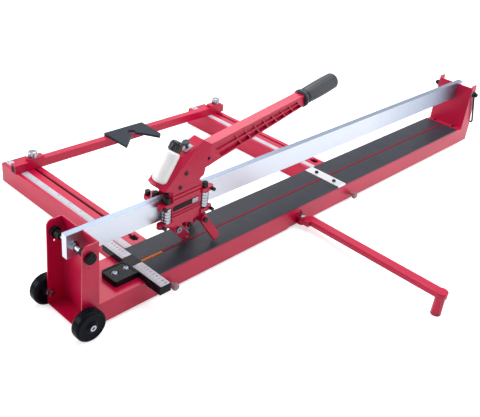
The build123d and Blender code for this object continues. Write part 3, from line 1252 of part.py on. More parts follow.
def breaker_leg():
    """Front breaker leg: a knuckle on the pin and a splayed foot over the pad."""
    top_y = -PLATE_OUTER - GAP
    outer_y = top_y - BREAKER_THICK
    foot_z = BREAKER_Z - BREAKER_DROP
    half = BREAKER_WIDTH / 2
    outline = [(top_y, BREAKER_Z), (outer_y, BREAKER_Z), (outer_y, BREAKER_Z - half + 2),
               (outer_y - BREAKER_SPLAY, foot_z + 4), (outer_y - BREAKER_SPLAY, foot_z),
               (top_y - BREAKER_SPLAY + 1, foot_z), (top_y, BREAKER_Z - half - 2)]
    leg = prism_x(outline, BREAKER_X - half, BREAKER_X + half)
    leg += rod_y(outer_y, top_y, BREAKER_X, BREAKER_Z, half)
    leg -= plate_hole(BREAKER_PIVOT, PIN_RADIUS)
    pivot = Pos(BREAKER_X, 0, BREAKER_Z)
    return pivot * Rot(0, -BREAKER_LEAN, 0) * pivot.inverse() * leg


def breaker_pin():
    """Pin through both plates that carries the breaker legs."""
    end = PLATE_OUTER + GAP + BREAKER_THICK + PIN_NUT_HEIGHT
    seat = PLATE_OUTER + GAP + BREAKER_THICK
    pin = rod_y(-end, end, BREAKER_X, BREAKER_Z, PIN_RADIUS)
    for side in (-1, 1):
        pin += rod_y(side * seat, side * end, BREAKER_X, BREAKER_Z, PIN_HEAD)
    return pin


save("base_channel", base_channel())
save("base_crossbars", *crossbars())
save("base_feet", *[rod_z(0, FOOT_HEIGHT, x, y, FOOT_RADIUS) for x, y in foot_places()])
left_pad = pad(PAD_LEFT, JOINT_LEFT - ROOM)
right_pad = pad(JOINT_RIGHT + ROOM, RIGHT_TOE_LEFT - ROOM)
save("pads", left_pad, right_pad, to_rear(left_pad), to_rear(right_pad))
save("ridge", ridge(INSERT_LEFT + INSERT_LENGTH, JOINT_LEFT), ridge(JOINT_RIGHT, RIGHT_TOE_LEFT))
save("ridge_insert", ridge(INSERT_LEFT, INSERT_LEFT + INSERT_LENGTH))
save("joint_plate", joint_plate())
save("base_screws", *[top_screw(x, y, BASE_TOP + JOINT_HEIGHT) for x, y in SCREW_PLACES],
     *[top_screw(x, y, BASE_TOP + SHEET) for x, y in TOE_SCREW_PLACES])
save("left_bracket", left_bracket())
save("right_bracket", right_bracket())
save("rail", rail())
save("rail_bolt_caps", *rail_bolt_caps())
save("frame_bolts", *rail_bolts(), *rail_nuts(), wheel_bolt(), to_rear(wheel_bolt()),
     *[arm_nut(x) for x in ARM_CENTRES])
save("front_wheel", wheel())
save("rear_wheel", to_rear(wheel()))
save("pull_bail", pull_bail())
save("gauge_block", gauge_block())
save("gauge_screws", *[gauge_screw(x, y) for x, y in GAUGE_SCREW_PLACES])
save("gauge_ruler", gauge_ruler())
save("scale_strips", gauge_scale(GAUGE_RULER_FRONT + 1, FRONT_SCALE_END),
     gauge_scale(REAR_SCALE_START, GAUGE_RULER_REAR - 1), *[arm_scale(edge) for edge in ARM_LEFT_EDGES])
for side_name, arm_edge, arm_x in zip(("left", "right"), ARM_LEFT_EDGES, ARM_CENTRES):
    save(f"{side_name}_arm", arm(arm_edge))
    save(f"{side_name}_lock_screw", lock_knob(arm_x))
save("arm_plugs", *[arm_plug(edge) for edge in ARM_LEFT_EDGES])
save("fence_bar", fence_bar())
save("fence_caps", *fence_caps())
save("fence_plates", clamp_plate(SLOT_XS[0], CLAMP_PLATE_SHIFT), clamp_plate(SLOT_XS[1], -CLAMP_PLATE_SHIFT))
save("fence_nuts", *[t_nut(x) for x in SLOT_XS])
save("left_fence_knob", clamp_knob(SLOT_XS[0]))
save("right_fence_knob", clamp_knob(SLOT_XS[1]))
save("fence_stop", fence_stop())
save("fence_stop_screw", fence_stop_screw())
save("support_clevis", support_clevis())
save("support_bolt", support_bolt())
save("support_arm", support_arm())
save("support_foot", support_foot())
save("carriage_plates", carriage_plate(EAR_RADIUS), to_rear(carriage_plate(REAR_EAR)))
save("carriage_spacer", spacer_block())
save("front_left_roller", *roller(-1, -1))
save("front_right_roller", *roller(1, -1))
save("rear_left_roller", *roller(-1, 1))
save("rear_right_roller", *roller(1, 1))
save("roller_pins", *[roller_pin(side_x, side_y) for side_x in (-1, 1) for side_y in (-1, 1)],
     *tip_screws(), *[rear_ear_bolt(side) for side in (-1, 1)])
save("carriage_bolts", through_bolt(SPACER_BOLT, PIN_HEAD), *side_bolts())
save("label_plate", label_plate())
save("lever_housing", lever_housing())
save("oil_bottle", oil_bottle())
save("bottle_cap", bottle_cap())
save("adjuster_plate", adjuster_plate())
save("adjuster_knob", adjuster_knob())
save("lever", lever())
save("lever_pin", lever_pin())
save("grip", grip())
save("wheel_holder", wheel_holder())
save("holder_bolt", through_bolt(HOLDER_PIVOT, PIN_HEAD + 1))
save("cutting_wheel", cutting_wheel())
save("wheel_axle", wheel_axle())
save("breaker_legs", breaker_leg(), to_rear(breaker_leg()))
save("breaker_pin", breaker_pin())
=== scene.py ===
"""Looks of the tile cutter: finishes on the CAD nodes, printed scales, small trim, studio and camera.

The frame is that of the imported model: X along the rail, Y to the rear, Z up. Places and sizes of the
added pieces are in millimetres. Materials, edges, lamps and camera are in metres.
"""

import json
from math import cos, pi, radians, sin

import bmesh
import bpy
from mathutils import Matrix, Vector


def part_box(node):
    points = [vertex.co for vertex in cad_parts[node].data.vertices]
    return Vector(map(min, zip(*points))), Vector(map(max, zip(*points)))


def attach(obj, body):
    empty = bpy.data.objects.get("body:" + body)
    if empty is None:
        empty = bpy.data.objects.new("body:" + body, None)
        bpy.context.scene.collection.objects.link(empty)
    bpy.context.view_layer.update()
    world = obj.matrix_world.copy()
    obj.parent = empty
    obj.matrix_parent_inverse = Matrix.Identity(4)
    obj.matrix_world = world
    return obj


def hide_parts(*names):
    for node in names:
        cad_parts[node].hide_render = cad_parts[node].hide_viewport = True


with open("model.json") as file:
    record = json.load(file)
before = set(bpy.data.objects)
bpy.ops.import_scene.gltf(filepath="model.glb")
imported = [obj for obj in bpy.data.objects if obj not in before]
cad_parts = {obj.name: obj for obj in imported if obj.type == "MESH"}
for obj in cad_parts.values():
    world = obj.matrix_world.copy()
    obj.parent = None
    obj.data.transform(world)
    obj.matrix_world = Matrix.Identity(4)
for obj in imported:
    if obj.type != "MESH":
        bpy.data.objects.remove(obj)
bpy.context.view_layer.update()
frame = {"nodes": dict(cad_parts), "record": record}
nodes = frame["nodes"]
MM = 0.001


def new_material(name, color, roughness, metallic=0.0, **sockets):
    """A principled material; further sockets are given by name with spaces as underscores."""
    material = bpy.data.materials.new(name)
    material.use_nodes = True
    shader_input(material, "Base Color").default_value = (*color, 1)
    shader_input(material, "Roughness").default_value = roughness
    shader_input(material, "Metallic").default_value = metallic
    for socket, value in sockets.items():
        shader_input(material, socket.replace("_", " ")).default_value = value
    return material


def shader_input(material, name):
    """An input of a material's principled shader."""
    return material.node_tree.nodes["Principled BSDF"].inputs[name]


def add_node(owner, kind, **settings):
    """A shader node of a material or world with its settings; those that name an input set its value."""
    node = owner.node_tree.nodes.new(kind)
    for key, value in settings.items():
        if key in node.inputs:
            node.inputs[key].default_value = value
        else:
            setattr(node, key, value)
    return node


def link(owner, start, end):
    """Join two sockets in a material or world."""
    owner.node_tree.links.new(start, end)


def noise(material, scale, detail=3.0, stretch=(1, 1, 1)):
    """Noise in object space, stretched along the axes."""
    place = add_node(material, "ShaderNodeTexCoord")
    mapping = add_node(material, "ShaderNodeMapping", Scale=stretch)
    texture = add_node(material, "ShaderNodeTexNoise", Scale=scale, Detail=detail)
    link(material, place.outputs["Object"], mapping.inputs["Vector"])
    link(material, mapping.outputs["Vector"], texture.inputs["Vector"])
    return texture.outputs["Fac"]


def spread(material, factor, low, high, start=0.0, end=1.0):
    """Carry a factor that runs from start to end over to the span from low to high."""
    span = add_node(material, "ShaderNodeMapRange")
    for socket, value in (("From Min", start), ("From Max", end), ("To Min", low), ("To Max", high)):
        span.inputs[socket].default_value = value
    link(material, factor, span.inputs["Value"])
    return span.outputs["Result"]


def vary_color(material, factor, dark, light, low=0.35, high=0.65):
    """Let the base colour drift between two shades."""
    ramp = add_node(material, "ShaderNodeValToRGB")
    for element, position, color in zip(ramp.color_ramp.elements, (low, high), (dark, light)):
        element.position = position
        element.color = (*color, 1)
    link(material, factor, ramp.inputs["Fac"])
    link(material, ramp.outputs["Color"], shader_input(material, "Base Color"))


def vary_roughness(material, factor, low, high):
    """Let the roughness drift between two values."""
    link(material, spread(material, factor, low, high), shader_input(material, "Roughness"))


def bump(material, height, strength, distance):
    """Raise the surface a little with a height texture."""
    node = add_node(material, "ShaderNodeBump", Strength=strength, Distance=distance)
    link(material, height, node.inputs["Height"])
    link(material, node.outputs["Normal"], shader_input(material, "Normal"))


def red_paint():
    """Glossy crimson powder coat with a faint orange-peel surface."""
    material = new_material("crimson_paint", (0.50, 0.003, 0.046), roughness=0.3, Specular_IOR_Level=0.3)
    vary_color(material, noise(material, scale=9), (0.47, 0.0025, 0.042), (0.53, 0.0035, 0.050))
    bump(material, noise(material, scale=900, detail=2), strength=0.06, distance=0.0002)
    return material


BAR_SIDE = (0.53, 0.57, 0.64)
# Painted shade: the top of the bar and its far end are coloured darker, in place of the darker surroundings
# they reflect.
BAR_PAINTED_SHADE = (0.24, 0.29, 0.38)
BAR_SHADE_SPAN = (0.15, 0.75)  # along X, in metres
BAR_SHADE_SHARE = (0.2, 0.8)
BAR_MARKS = 0.2  # share of the brush marks in the shade


def polished_steel():
    """Bar with polished sides and fine brush marks; its top and its far end are coloured darker, painted
    shade in place of the darker surroundings they reflect.
    """
    material = new_material("polished_bar", BAR_SIDE, roughness=0.4, metallic=1.0)
    surface = add_node(material, "ShaderNodeNewGeometry")
    upward = add_node(material, "ShaderNodeSeparateXYZ")
    link(material, surface.outputs["Normal"], upward.inputs["Vector"])
    place = add_node(material, "ShaderNodeTexCoord")
    along = add_node(material, "ShaderNodeSeparateXYZ")
    link(material, place.outputs["Object"], along.inputs["Vector"])
    # Painted shade: darker towards the far end of the bar, and on its top through the upward normal.
    far_shade = spread(material, along.outputs["X"], *BAR_SHADE_SHARE, *BAR_SHADE_SPAN)
    marks = add_node(material, "ShaderNodeMath", operation="MULTIPLY_ADD")
    marks.inputs[1].default_value = BAR_MARKS
    link(material, noise(material, scale=50, detail=4, stretch=(8, 1, 0.4)), marks.inputs[0])
    link(material, far_shade, marks.inputs[2])
    shade = add_node(material, "ShaderNodeMath", operation="ADD")
    link(material, upward.outputs["Z"], shade.inputs[0])
    link(material, marks.outputs["Value"], shade.inputs[1])
    vary_color(material, shade.outputs["Value"], BAR_SIDE, BAR_PAINTED_SHADE, low=0.38, high=0.8)
    lines = noise(material, scale=60, detail=4, stretch=(0.6, 40, 40))
    vary_roughness(material, lines, low=0.36, high=0.46)
    return material


def bright_zinc():
    """Bright plated fasteners and bearings."""
    material = new_material("bright_zinc", (0.34, 0.36, 0.41), roughness=0.2, metallic=1.0)
    vary_roughness(material, noise(material, scale=300), low=0.12, high=0.24)
    return material


def dark_chrome():
    """Chromed screw heads with a dark base colour: a painted reflection, in place of the darker parts of a
    room they would mirror.
    """
    material = new_material("dark_chrome", (0.13, 0.14, 0.17), roughness=0.12, metallic=1.0)
    vary_roughness(material, noise(material, scale=260), low=0.07, high=0.17)
    return material


def satin_aluminium():
    """Brushed plate."""
    material = new_material("satin_aluminium", (0.72, 0.74, 0.77), roughness=0.32, metallic=1.0)
    vary_roughness(material, noise(material, scale=120, stretch=(30, 1, 1)), low=0.25, high=0.4)
    return material


RUBBER_LIGHTER = 1.25
RUBBER_ROUGHNESS = (0.58, 0.75)  # with no gloss
PLASTIC_LIGHTER = 1.12


def rubber(name, color, grain, gloss=0.2):
    """Matt rubber with a fine grain; more gloss also makes it smoother."""
    light = tuple(channel * RUBBER_LIGHTER for channel in color)
    material = new_material(name, color, roughness=0.5, Specular_IOR_Level=gloss)
    vary_color(material, noise(material, scale=25), color, light)
    low, high = (value - gloss for value in RUBBER_ROUGHNESS)
    vary_roughness(material, noise(material, scale=140), low, high)
    bump(material, noise(material, scale=grain, detail=2), strength=0.12, distance=0.0003)
    return material


def plastic(name, color, low, high, gloss=0.18):
    """Moulded plastic whose roughness runs from low to high."""
    light = tuple(min(1.0, channel * PLASTIC_LIGHTER) for channel in color)
    material = new_material(name, color, roughness=low, Specular_IOR_Level=gloss)
    vary_color(material, noise(material, scale=30), color, light)
    vary_roughness(material, noise(material, scale=90), low, high)
    return material


def bottle_plastic():
    """Milky plastic that lets some light through."""
    scatter = {"Subsurface_Weight": 0.4, "Subsurface_Scale": 0.01}
    material = new_material("milky_plastic", (0.9, 0.9, 0.89), roughness=0.35, **scatter)
    vary_color(material, noise(material, scale=20), (0.86, 0.86, 0.86), (0.93, 0.93, 0.92))
    return material


# Rubbers: name, colour, grain and gloss. Plastics: name, colour, lowest and highest roughness, gloss.
RED = red_paint()
STEEL = polished_steel()
ZINC = bright_zinc()
CHROME = dark_chrome()
ALUMINIUM = satin_aluminium()
PAD = rubber("slate_rubber", (0.020, 0.022, 0.032), 1500)
TYRE = rubber("black_rubber", (0.006, 0.007, 0.009), 1200)
WHEEL = plastic("wheel_plastic", (0.004, 0.005, 0.008), 0.18, 0.28, 0.04)
BLACK = plastic("black_plastic", (0.006, 0.007, 0.009), 0.22, 0.32, 0.07)
SLATE = plastic("slate_plastic", (0.018, 0.024, 0.034), 0.4, 0.55, 0.1)
WHITE = plastic("white_print", (0.48, 0.47, 0.52), 0.45, 0.55)
ORANGE = plastic("orange_plastic", (0.75, 0.16, 0.01), 0.35, 0.5)
OXIDE = plastic("black_oxide", (0.012, 0.012, 0.013), 0.3, 0.45)
BOTTLE = bottle_plastic()
INK = plastic("printed_ink", (0.010, 0.010, 0.012), 0.5, 0.6)
# Black for painted shade: the socket plates and the sheets inside the arms.
SHADE_BLACK = plastic("painted_shade_black", (0.002, 0.002, 0.002), 0.6, 0.7)
LABEL = plastic("label_black", (0.008, 0.008, 0.012), 0.25, 0.4, 0.08)
SILVER = plastic("label_silver", (0.42, 0.44, 0.48), 0.3, 0.45)
GRIP = rubber("grip_rubber", (0.014, 0.017, 0.024), 1400, 0.32)
CAP = plastic("glossy_cap", (0.008, 0.010, 0.014), 0.12, 0.22, 0.3)
STONE = plastic("grey_plastic", (0.060, 0.066, 0.078), 0.3, 0.42)
SMOKE = plastic("smoky_plastic", (0.30, 0.19, 0.21), 0.3, 0.45)
# Darker red than the paint, for the ridge.
DEEP_RED = plastic("darker_red", (0.20, 0.004, 0.022), 0.4, 0.55)

FINISHES = {
    "red_paint": RED,
    "polished_steel": STEEL,
    "zinc": ZINC,
    "aluminium": ALUMINIUM,
    "slate_rubber": PAD,
    "black_rubber": TYRE,
    "black_plastic": BLACK,
    "slate_plastic": SLATE,
    "white_plastic": WHITE,
    "orange_plastic": ORANGE,
    "black_steel": OXIDE,
}

# Nodes with a finish of their own in place of their slot's
OWN_FINISHES = {
    "oil_bottle": BOTTLE,
    "bottle_cap": CAP,
    "left_lock_screw": SMOKE,
    "right_lock_screw": SMOKE,
    "ridge": DEEP_RED,
    "gauge_screws": CHROME,
    "holder_bolt": CHROME,
    "adjuster_knob": STONE,
}

WELD_GAP = 0.00001
FLAT_ANGLE = 0.5  # degrees
EDGE_WIDTH = 0.0006
EDGE_SEGMENTS = 2
EDGE_ANGLE = 35  # degrees


def finish_nodes():
    """Give each CAD node its finish and soften its edges."""
    for part in frame["record"]["subparts"]:
        node = nodes[part["node"]]
        node.data.materials.clear()
        node.data.materials.append(FINISHES[part["material_slot"]])
        weld = node.modifiers.new("weld", "WELD")
        weld.merge_threshold = WELD_GAP
        flat = node.modifiers.new("flat_faces", "DECIMATE")
        flat.decimate_type = "DISSOLVE"
        flat.angle_limit = radians(FLAT_ANGLE)
        bevel = node.modifiers.new("soft_edges", "BEVEL")
        bevel.width = EDGE_WIDTH
        bevel.segments = EDGE_SEGMENTS
        bevel.limit_method = "ANGLE"
        bevel.angle_limit = radians(EDGE_ANGLE)
        bevel.harden_normals = True
    for node, finish in OWN_FINISHES.items():
        nodes[node].data.materials[0] = finish


def new_piece(name, shape, material, body, crease=EDGE_ANGLE):
    """Turn a mesh being built into a piece that rides on a body."""
    mesh = bpy.data.meshes.new(name)
    bmesh.ops.recalc_face_normals(shape, faces=shape.faces[:])
    shape.to_mesh(mesh)
    shape.free()
    mesh.materials.append(material)
    mesh.shade_smooth()
    mesh.set_sharp_from_angle(angle=radians(crease))
    thing = bpy.data.objects.new(name, mesh)
    bpy.context.collection.objects.link(thing)
    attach(thing, body)
    return thing


def corners_of(node):
    """Lowest corner, highest corner and middle of a node's box, in millimetres."""
    low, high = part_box(node)
    return low / MM, high / MM, (low + high) / 2 / MM


def facing(at, direction):
    """Place at a point, given in millimetres, whose Z axis looks in a direction."""
    turn = Vector(direction).to_track_quat("Z", "Y").to_matrix().to_4x4()
    return Matrix.Translation(Vector(at) * MM) @ turn


FINE_STEPS = 96
PLAIN_STEPS = 40
PLUG_STEPS = 32
NEAR_AXIS = 0.01  # turned outlines stop just short of the axis


def turned(shape, profile, place, steps, ripple=None):
    """Add a closed outline of radius and height pairs turned about the Z axis of a place."""
    rings = []
    for step in range(steps):
        angle = 2 * pi * step / steps
        ring = []
        for radius, height in profile:
            if ripple:
                radius = ripple(radius, height, angle)
            point = Vector((radius * cos(angle), radius * sin(angle), height)) * MM
            ring.append(shape.verts.new(place @ point))
        rings.append(ring)
    for step in range(steps):
        join_rings(shape, rings[step], rings[(step + 1) % steps])


def join_rings(shape, first, second):
    """Faces between two closed rows of corners."""
    count = len(first)
    for index in range(count):
        after = (index + 1) % count
        shape.faces.new((first[index], first[after], second[after], second[index]))


def ridges(shape, place, radius, low, high, count, height, width):
    """Add slim ridges with pointed backs round a cylinder."""
    half = width / 2
    inside = radius - height
    crest = radius + height
    backs = ((low, radius), (low + height, crest), (high - height, crest), (high, radius))
    for index in range(count):
        turn = place @ Matrix.Rotation(2 * pi * index / count, 4, "Z")
        rows = []
        for z, top in backs:
            corners = ((inside, -half, z), (top, 0, z), (inside, half, z))
            rows.append([shape.verts.new(turn @ (Vector(corner) * MM)) for corner in corners])
        for first, second in zip(rows, rows[1:]):
            join_rings(shape, first, second)
        shape.faces.new(rows[0])
        shape.faces.new(rows[-1])


SOCKET_LIFT = 0.06
SOCKET_TAPER = 0.94


def sunk_hexagon(shape, place, radius):
    """Add a thin raised six-sided plate that the pieces colour black, painted shade standing in for the
    socket of a screw.
    """
    low = [shape.verts.new(place @ corner) for corner in hexagon(radius, 0)]
    high = [shape.verts.new(place @ corner) for corner in hexagon(radius * SOCKET_TAPER, SOCKET_LIFT)]
    join_rings(shape, low, high)
    shape.faces.new(high)


def hexagon(radius, height):
    """Corners of a hexagon round the Z axis."""
    return [Vector((radius * cos(pi / 3 * k), radius * sin(pi / 3 * k), height)) * MM for k in range(6)]


def block(shape, low, high):
    """Add a thin plate between two corners, given in millimetres."""
    rows = []
    for z in (low[2], high[2]):
        corners = ((low[0], low[1]), (high[0], low[1]), (high[0], high[1]), (low[0], high[1]))
        rows.append([shape.verts.new(Vector((x, y, z)) * MM) for x, y in corners])
    join_rings(shape, *rows)
    shape.faces.new(rows[0])
    shape.faces.new(rows[1])


PRINT_LIFT = 0.08
TICK_STEP = 5
TICK_HALF = 0.35
LONG_TICK = 0.42  # tick lengths and the place of the numbers are shares of the strip's width
SHORT_TICK = 0.26
NUMBER_PLACE = 0.7
NUMBER_TURN = 90  # degrees


def bar(shape, x, y, top):
    """Add a thin printed mark with the given spans in X and Y on a level face."""
    corners = ((x[0], y[0]), (x[1], y[0]), (x[1], y[1]), (x[0], y[1]))
    shape.faces.new([shape.verts.new(Vector((cx, cy, top)) * MM) for cx, cy in corners])


def number(shape, value, x, y, top, size):
    """Add a plain number on a level face."""
    curve = bpy.data.curves.new("number", "FONT")
    curve.body = str(value)
    curve.size = size * MM
    curve.align_x = "CENTER"
    curve.align_y = "CENTER"
    holder = bpy.data.objects.new("number", curve)
    mesh = bpy.data.meshes.new_from_object(holder)
    turn = Matrix.Rotation(radians(NUMBER_TURN), 4, "Z")
    mesh.transform(Matrix.Translation(Vector((x, y, top)) * MM) @ turn)
    shape.from_mesh(mesh)
    bpy.data.objects.remove(holder)
    bpy.data.curves.remove(curve)
    bpy.data.meshes.remove(mesh)


def scale_print(name, x_span, y_span, face, label_every, size):
    """Ticks along one edge of a strip that runs along Y, with plain numbers beside them."""
    shape = bmesh.new()
    left, right = x_span
    start, end = y_span
    step = 1 if end > start else -1
    reach = abs(end - start)
    width = right - left
    top = face + PRINT_LIFT
    for index in range(int(reach / TICK_STEP) + 1):
        y = start + step * index * TICK_STEP
        length = width * (LONG_TICK if index % 2 == 0 else SHORT_TICK)
        bar(shape, (left, left + length), (y - TICK_HALF, y + TICK_HALF), top)
        if index and index % label_every == 0 and index * TICK_STEP < reach - size / 2:
            number(shape, index // label_every, left + width * NUMBER_PLACE, y, top, size)
    new_piece(name, shape, INK, "base")


GAUGE_TOP = 76.8
RULER_SPAN = (-660.0, -633.0)
FRONT_RULER_Y = (-17.0, -112.0)
REAR_RULER_Y = (22.0, 90.0)
GAUGE_NUMBERS = (2, 9.5)  # ticks to a number, and the height of the numbers
ARM_TOP = 57.0
LEFT_SCALE_SPAN = (-612.0, -592.0)
RIGHT_SCALE_SPAN = (87.5, 107.5)
ARM_SCALE_Y = (66.0, 600.0)
ARM_NUMBERS = (10, 8)


def print_scales():
    """Ticks and numbers on the gauge and on both arms."""
    scale_print("front_gauge_print", RULER_SPAN, FRONT_RULER_Y, GAUGE_TOP, *GAUGE_NUMBERS)
    scale_print("rear_gauge_print", RULER_SPAN, REAR_RULER_Y, GAUGE_TOP, *GAUGE_NUMBERS)
    scale_print("left_arm_print", LEFT_SCALE_SPAN, ARM_SCALE_Y, ARM_TOP, *ARM_NUMBERS)
    scale_print("right_arm_print", RIGHT_SCALE_SPAN, ARM_SCALE_Y, ARM_TOP, *ARM_NUMBERS)


PAD_EDGE_INSET = 1.0
PAD_EDGE_FACES = (-0.25, -0.02)  # before the front face of the pads
PAD_EDGE_RISE = (0.5, -0.4)  # from the underside and from the top of the pads


def dress_pads():
    """Pale strip along the front edge of the pads, as two long strips that leave the joint plate free."""
    low, high, _ = corners_of("pads")
    joint_low, joint_high, _ = corners_of("joint_plate")
    outer, inner = (low.y + lift for lift in PAD_EDGE_FACES)
    bottom = low.z + PAD_EDGE_RISE[0]
    top = high.z + PAD_EDGE_RISE[1]
    shape = bmesh.new()
    for left, right in ((low.x, joint_low.x), (joint_high.x, high.x)):
        block(shape, (left + PAD_EDGE_INSET, outer, bottom), (right - PAD_EDGE_INSET, inner, top))
    new_piece("pad_edges", shape, STONE, "base")


ARM_WALL = 3.0
SHADE_SHEET = (0.05, 0.4)  # faces of the shade sheet, from the inner wall
SHADE_SHEET_ENDS = (14, -20)  # from the ends of the arm
SHADE_SHEET_Z = (12, 52.8)


def dress_arms():
    """Black sheets on the inner walls of the arms: painted shade for the dark inside seen through their
    slots.
    """
    for node in ("left_arm", "right_arm"):
        low, high, _ = corners_of(node)
        shape = bmesh.new()
        for inner, side in ((low.x + ARM_WALL, 1), (high.x - ARM_WALL, -1)):
            left, right = sorted(inner + side * lift for lift in SHADE_SHEET)
            front = low.y + SHADE_SHEET_ENDS[0]
            rear = high.y + SHADE_SHEET_ENDS[1]
            block(shape, (left, front, SHADE_SHEET_Z[0]), (right, rear, SHADE_SHEET_Z[1]))
        new_piece(node + "_shade_sheet", shape, SHADE_BLACK, "base")


LEFT_BOLT_X = -806.0
LEFT_BOLT_Z = 188.5
SPACER_Y = 34.5
SPACER_PROFILE = [(5.2, 0), (7.6, 0), (8.4, 0.8), (8.4, 23.2), (7.6, 24), (5.2, 24)]


def dress_left_bolts():
    """Black spacer tubes with rounded rims on the left rail bolts, beside the bracket's flanges."""
    shape = bmesh.new()
    for side in (-1, 1):
        place = facing((LEFT_BOLT_X, side * SPACER_Y, LEFT_BOLT_Z), (0, side, 0))
        turned(shape, SPACER_PROFILE, place, PLAIN_STEPS)
    new_piece("left_bolt_spacers", shape, BLACK, "base")


GAUGE_SCREWS = ((-703.0, -9.0), (-672.5, -9.0))
DOME_PROFILE = [
    (NEAR_AXIS, 0.02), (7.8, 0.02), (7.2, 0.7), (6.2, 1.25), (5.0, 1.6), (3.4, 1.75), (NEAR_AXIS, 1.75),
]
DOME_TOP = 1.78
DOME_SOCKET = 2.6


def dress_gauge():
    """Domed tops on the two clamp screws of the gauge, with black plates of painted shade for their
    sockets.
    """
    _, high, _ = corners_of("gauge_screws")
    dome = bmesh.new()
    socket = bmesh.new()
    for x, y in GAUGE_SCREWS:
        turned(dome, DOME_PROFILE, facing((x, y, high.z), (0, 0, 1)), PLAIN_STEPS)
        sunk_hexagon(socket, facing((x, y, high.z + DOME_TOP), (0, 0, 1)), DOME_SOCKET)
    new_piece("gauge_domes", dome, CHROME, "base")
    new_piece("gauge_sockets", socket, SHADE_BLACK, "base")


# Turned about the axle: inner face, tread, then the outer face with its web and hub
WHEEL_PROFILE = [
    (5.2, -12.5), (12, -12.5), (13, -11.5), (29, -11.5), (30.5, -12.5), (32, -12.4), (34.6, -11.2),
    (36, -9.2), (36.5, -6.5), (36.5, -3), (36.5, 0), (36.5, 3), (36.5, 6.5), (36, 9.2), (34.6, 11.2),
    (32, 12.4), (30.4, 12.5), (29.4, 11.9), (28.6, 10.9), (15.5, 10.7), (14.3, 11.6), (12.5, 12.5),
    (5.2, 12.5),
]
TREAD_RADIUS = 36
TREAD_HALF = 7
GROOVES = 24
GROOVE_DEPTH = 0.35
GROOVE_SHARPNESS = 8


def wheel_ripple(radius, height, angle):
    """Shallow cross grooves in the tread."""
    if radius > TREAD_RADIUS and abs(height) < TREAD_HALF:
        return radius - GROOVE_DEPTH * max(0.0, cos(GROOVES * angle)) ** GROOVE_SHARPNESS
    return radius


def dress_wheels():
    """Moulded wheels with a rounded tread, a sunk web and a raised hub."""
    for node, side in (("front_wheel", -1), ("rear_wheel", 1)):
        _, _, middle = corners_of(node)
        shape = bmesh.new()
        turned(shape, WHEEL_PROFILE, facing(middle, (0, side, 0)), FINE_STEPS, wheel_ripple)
        wheel = new_piece(node + "_moulded", shape, WHEEL, node)
        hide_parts(node)


LEVER_PIVOT = (-452.0, 0.0, 286.0)
LEVER_ANGLE = radians(10.5)
LEVER_LENGTH = 341.0
GRIP_BORE = 8.2
GRIP_END = 134.9
GRIP_COLLAR = [
    (GRIP_BORE, 0.2), (21.5, 0.2), (22.8, 1.2), (23.4, 3), (23.4, 7), (22.9, 9.2), (21.6, 10.8), (19.4, 12),
    (18.6, 13.5), (18.6, 15), (19.4, 16.5),
]
HANDLE_START = 18
HANDLE_STOP = 129
HANDLE_STEP = 5
HANDLE_RADIUS = 20.4
SWELL = 1.8
SWELL_LENGTH = 130
GRIP_TIP = [(20.0, 130.4), (18.4, 132.8), (15.5, 134.2), (11, GRIP_END), (GRIP_BORE, GRIP_END)]
FLUTES = 16
FLUTE_DEPTH = 0.9
FLUTE_SHARPNESS = 3
FLUTE_LOW = 20
FLUTE_HIGH = 124
FLUTE_FADE = 8
FLUTED_RADIUS = 18  # smaller parts of the grip stay plain
GRIP_CREASE = 50  # degrees


def grip_ripple(radius, height, angle):
    """Shallow flutes along the handle."""
    if FLUTE_LOW < height < FLUTE_HIGH and radius > FLUTED_RADIUS:
        fade = min(1.0, (height - FLUTE_LOW) / FLUTE_FADE, (FLUTE_HIGH - height) / FLUTE_FADE)
        return radius - FLUTE_DEPTH * fade * (0.5 + 0.5 * cos(FLUTES * angle)) ** FLUTE_SHARPNESS
    return radius


def dress_grip():
    """Grip with a collar, a waist, a slightly swollen fluted handle and a rounded end."""
    direction = Vector((cos(LEVER_ANGLE), 0, sin(LEVER_ANGLE)))
    place = facing(Vector(LEVER_PIVOT) + direction * LEVER_LENGTH, direction)
    profile = list(GRIP_COLLAR)
    for along in range(HANDLE_START, HANDLE_STOP, HANDLE_STEP):
        swell = SWELL * sin(pi * (along - HANDLE_START) / SWELL_LENGTH)
        profile.append((HANDLE_RADIUS + swell, along))
    profile += GRIP_TIP
    shape = bmesh.new()
    turned(shape, profile, place, FINE_STEPS, grip_ripple)
    close_end(shape, place, GRIP_BORE, GRIP_END)
    handle = new_piece("grip_moulded", shape, GRIP, "lever", GRIP_CREASE)
    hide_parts("grip")


PLUG_LAP = 0.1
PLUG_DEPTH = 3
PLUG_DOME = 0.3
PLUG_FLAT = 0.7  # share of the plug's radius


def close_end(shape, place, radius, height):
    """Add a slightly domed plug that closes the end of a turned piece."""
    rim = radius + PLUG_LAP
    foot = height - PLUG_DEPTH
    edge = height - PLUG_DOME
    flat = radius * PLUG_FLAT
    profile = [(NEAR_AXIS, foot), (rim, foot), (rim, edge), (flat, height), (NEAR_AXIS, height)]
    turned(shape, profile, place, PLUG_STEPS)


BOTTLE_FOOT = (-581.5, 0.0, 257.0)
BOTTLE_LEAN = radians(32)
CAP_LOW = 76.3  # along the bottle from its foot


def dress_cap():
    """Fine ribs round the screw cap."""
    shape = bmesh.new()
    place = facing(BOTTLE_FOOT, (sin(BOTTLE_LEAN), 0, cos(BOTTLE_LEAN)))
    ridges(shape, place, radius=14.2, low=CAP_LOW + 1, high=CAP_LOW + 16, count=16, height=0.8, width=3.6)
    new_piece("cap_ribs", shape, CAP, "bottle_cap")


